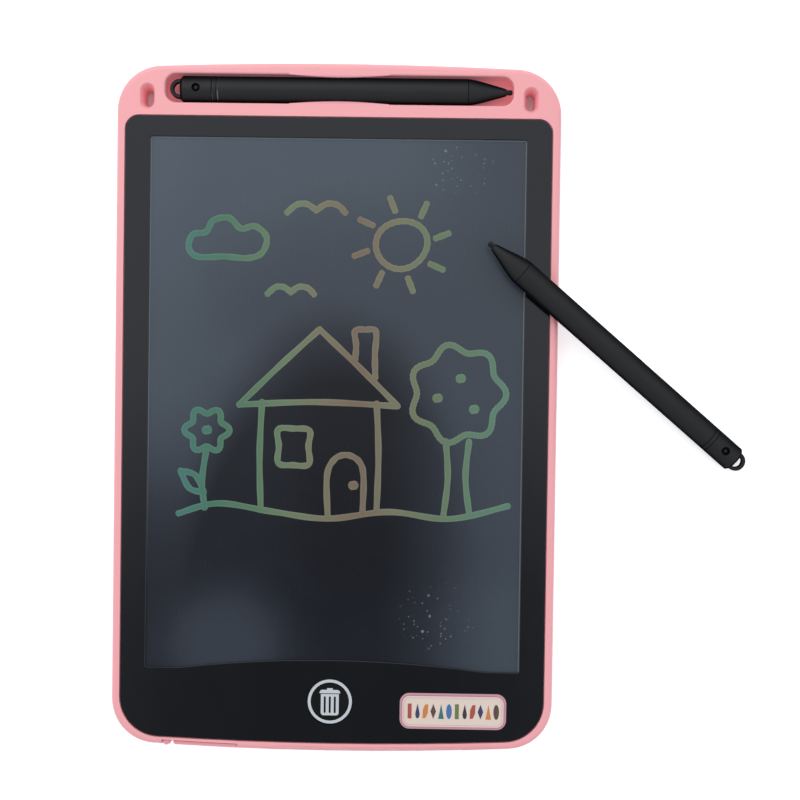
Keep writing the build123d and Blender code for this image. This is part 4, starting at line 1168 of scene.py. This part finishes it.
def pale_floor():
    """Looks white and keeps a soft shadow. Clear from below and, to light, under the case."""
    finish = Finish("pale_floor")
    place = finish.place()
    paper = finish.noise(place, paper_size, detail=2.0)
    tone = finish.mix(floor_fleck_share * paper, (floor_whiteness,) * 3 + (1.0,), floor_fleck)
    beyond = rounded_distance(finish, place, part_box("rear_cover"), cover_corner_radius)
    covered = 1 - beyond.smooth(-cover_fade, 0.0)
    glow = finish.mix(covered, white, no_light)
    dull = finish.node("ShaderNodeBsdfDiffuse", None, {"Color": tone})
    bright = finish.node("ShaderNodeBsdfDiffuse", None, {"Color": white})
    lift = finish.node("ShaderNodeEmission", None, {"Color": glow, "Strength": floor_lift})
    seen = finish.node("ShaderNodeAddShader", None, {0: bright, 1: lift})
    direct = seen_directly(finish)
    opaque = finish.node("ShaderNodeMixShader", None, {0: direct, 1: dull, 2: seen})
    side = (finish.along(place, "X").math("ABSOLUTE") - hole_place[0]) / hole_half_size[0]
    way = (finish.along(place, "Y") - hole_place[1]) / hole_half_size[1]
    off_hole = (side * side + way * way).smooth(1.0, hole_fade)
    under = (1 - beyond.smooth(-under_end, -under_start)) * off_hole
    from_below = finish.node("ShaderNodeNewGeometry", output="Backfacing")
    clear = finish.node("ShaderNodeBsdfTransparent")
    clear_share = (from_below + under * (1 - direct)).clipped()
    return finish.done(finish.node("ShaderNodeMixShader", None, {0: clear_share, 1: opaque, 2: clear}))


def lay_floor():
    """A plain square floor just below the tablet."""
    half = floor_size / 2
    mesh = bpy.data.meshes.new("floor")
    corners = [(-half, -half), (half, -half), (half, half), (-half, half)]
    mesh.from_pydata([(x, y, -floor_drop) for x, y in corners], [], [(0, 1, 2, 3)])
    mesh.materials.append(pale_floor())
    floor = bpy.data.objects.new("floor", mesh)
    bpy.context.scene.collection.objects.link(floor)


def light_dome():
    """A soft even dome, white at the horizon and darker overhead, where the camera hangs."""
    world = bpy.data.worlds.new("soft_dome")
    world.use_nodes = True
    bpy.context.scene.world = world
    dome = NodeTree(world.node_tree)
    ray = dome.node("ShaderNodeTexCoord", output="Generated")
    facing = dome.node(
        "ShaderNodeVectorMath",
        {"operation": "DOT_PRODUCT"},
        {0: ray, 1: Vector(dark_overhead_direction).normalized()},
        output="Value",
    )
    outer = math.cos(math.radians(dark_overhead_outer_degrees))
    inner = math.cos(math.radians(dark_overhead_inner_degrees))
    overhead = facing.smooth(outer, inner)
    frontward = (0.0 - dome.along(ray, "Y")).smooth(front_low, front_high)
    level = dome_level * (1 - front_dimming * frontward)
    level = level * (1 - overhead) + dark_overhead_level * overhead
    horizon = 1 - dome.along(ray, "Z").smooth(horizon_low, horizon_high)
    level = level * (1 - horizon) + horizon_level * horizon
    light = dome.node("ShaderNodeBackground", None, {"Color": (*dome_tint, 1.0), "Strength": level})
    dome.node("ShaderNodeOutputWorld", None, {"Surface": light})


def hang_key():
    """One soft lamp beyond the stylus trough, which grades the light down the tablet."""
    lamp = bpy.data.lights.new("key", "AREA")
    lamp.shape = "SQUARE"
    lamp.size = key_size
    lamp.energy = key_power
    lamp.color = key_tint
    key = bpy.data.objects.new("key", lamp)
    key.location = key_place
    key.rotation_euler = (-Vector(key_place)).to_track_quat("-Z", "Y").to_euler()
    bpy.context.scene.collection.objects.link(key)


def set_camera():
    """The camera of the photograph, solved from its outlines."""
    lens = bpy.data.cameras.new("camera")
    lens.sensor_width = sensor_width
    lens.lens = camera_lens
    lens.clip_start = near_clip
    lens.clip_end = far_clip
    camera = bpy.data.objects.new("camera", lens)
    camera.location = camera_place
    camera.rotation_euler = [math.radians(turn) for turn in camera_turn_degrees]
    bpy.context.scene.collection.objects.link(camera)
    bpy.context.scene.camera = camera


set_camera()
dress_cad_nodes(slot_finishes())
screen_drawing()
badge_marks()
lay_floor()
light_dome()
hang_key()
bpy.context.scene.view_settings.view_transform = "Standard"
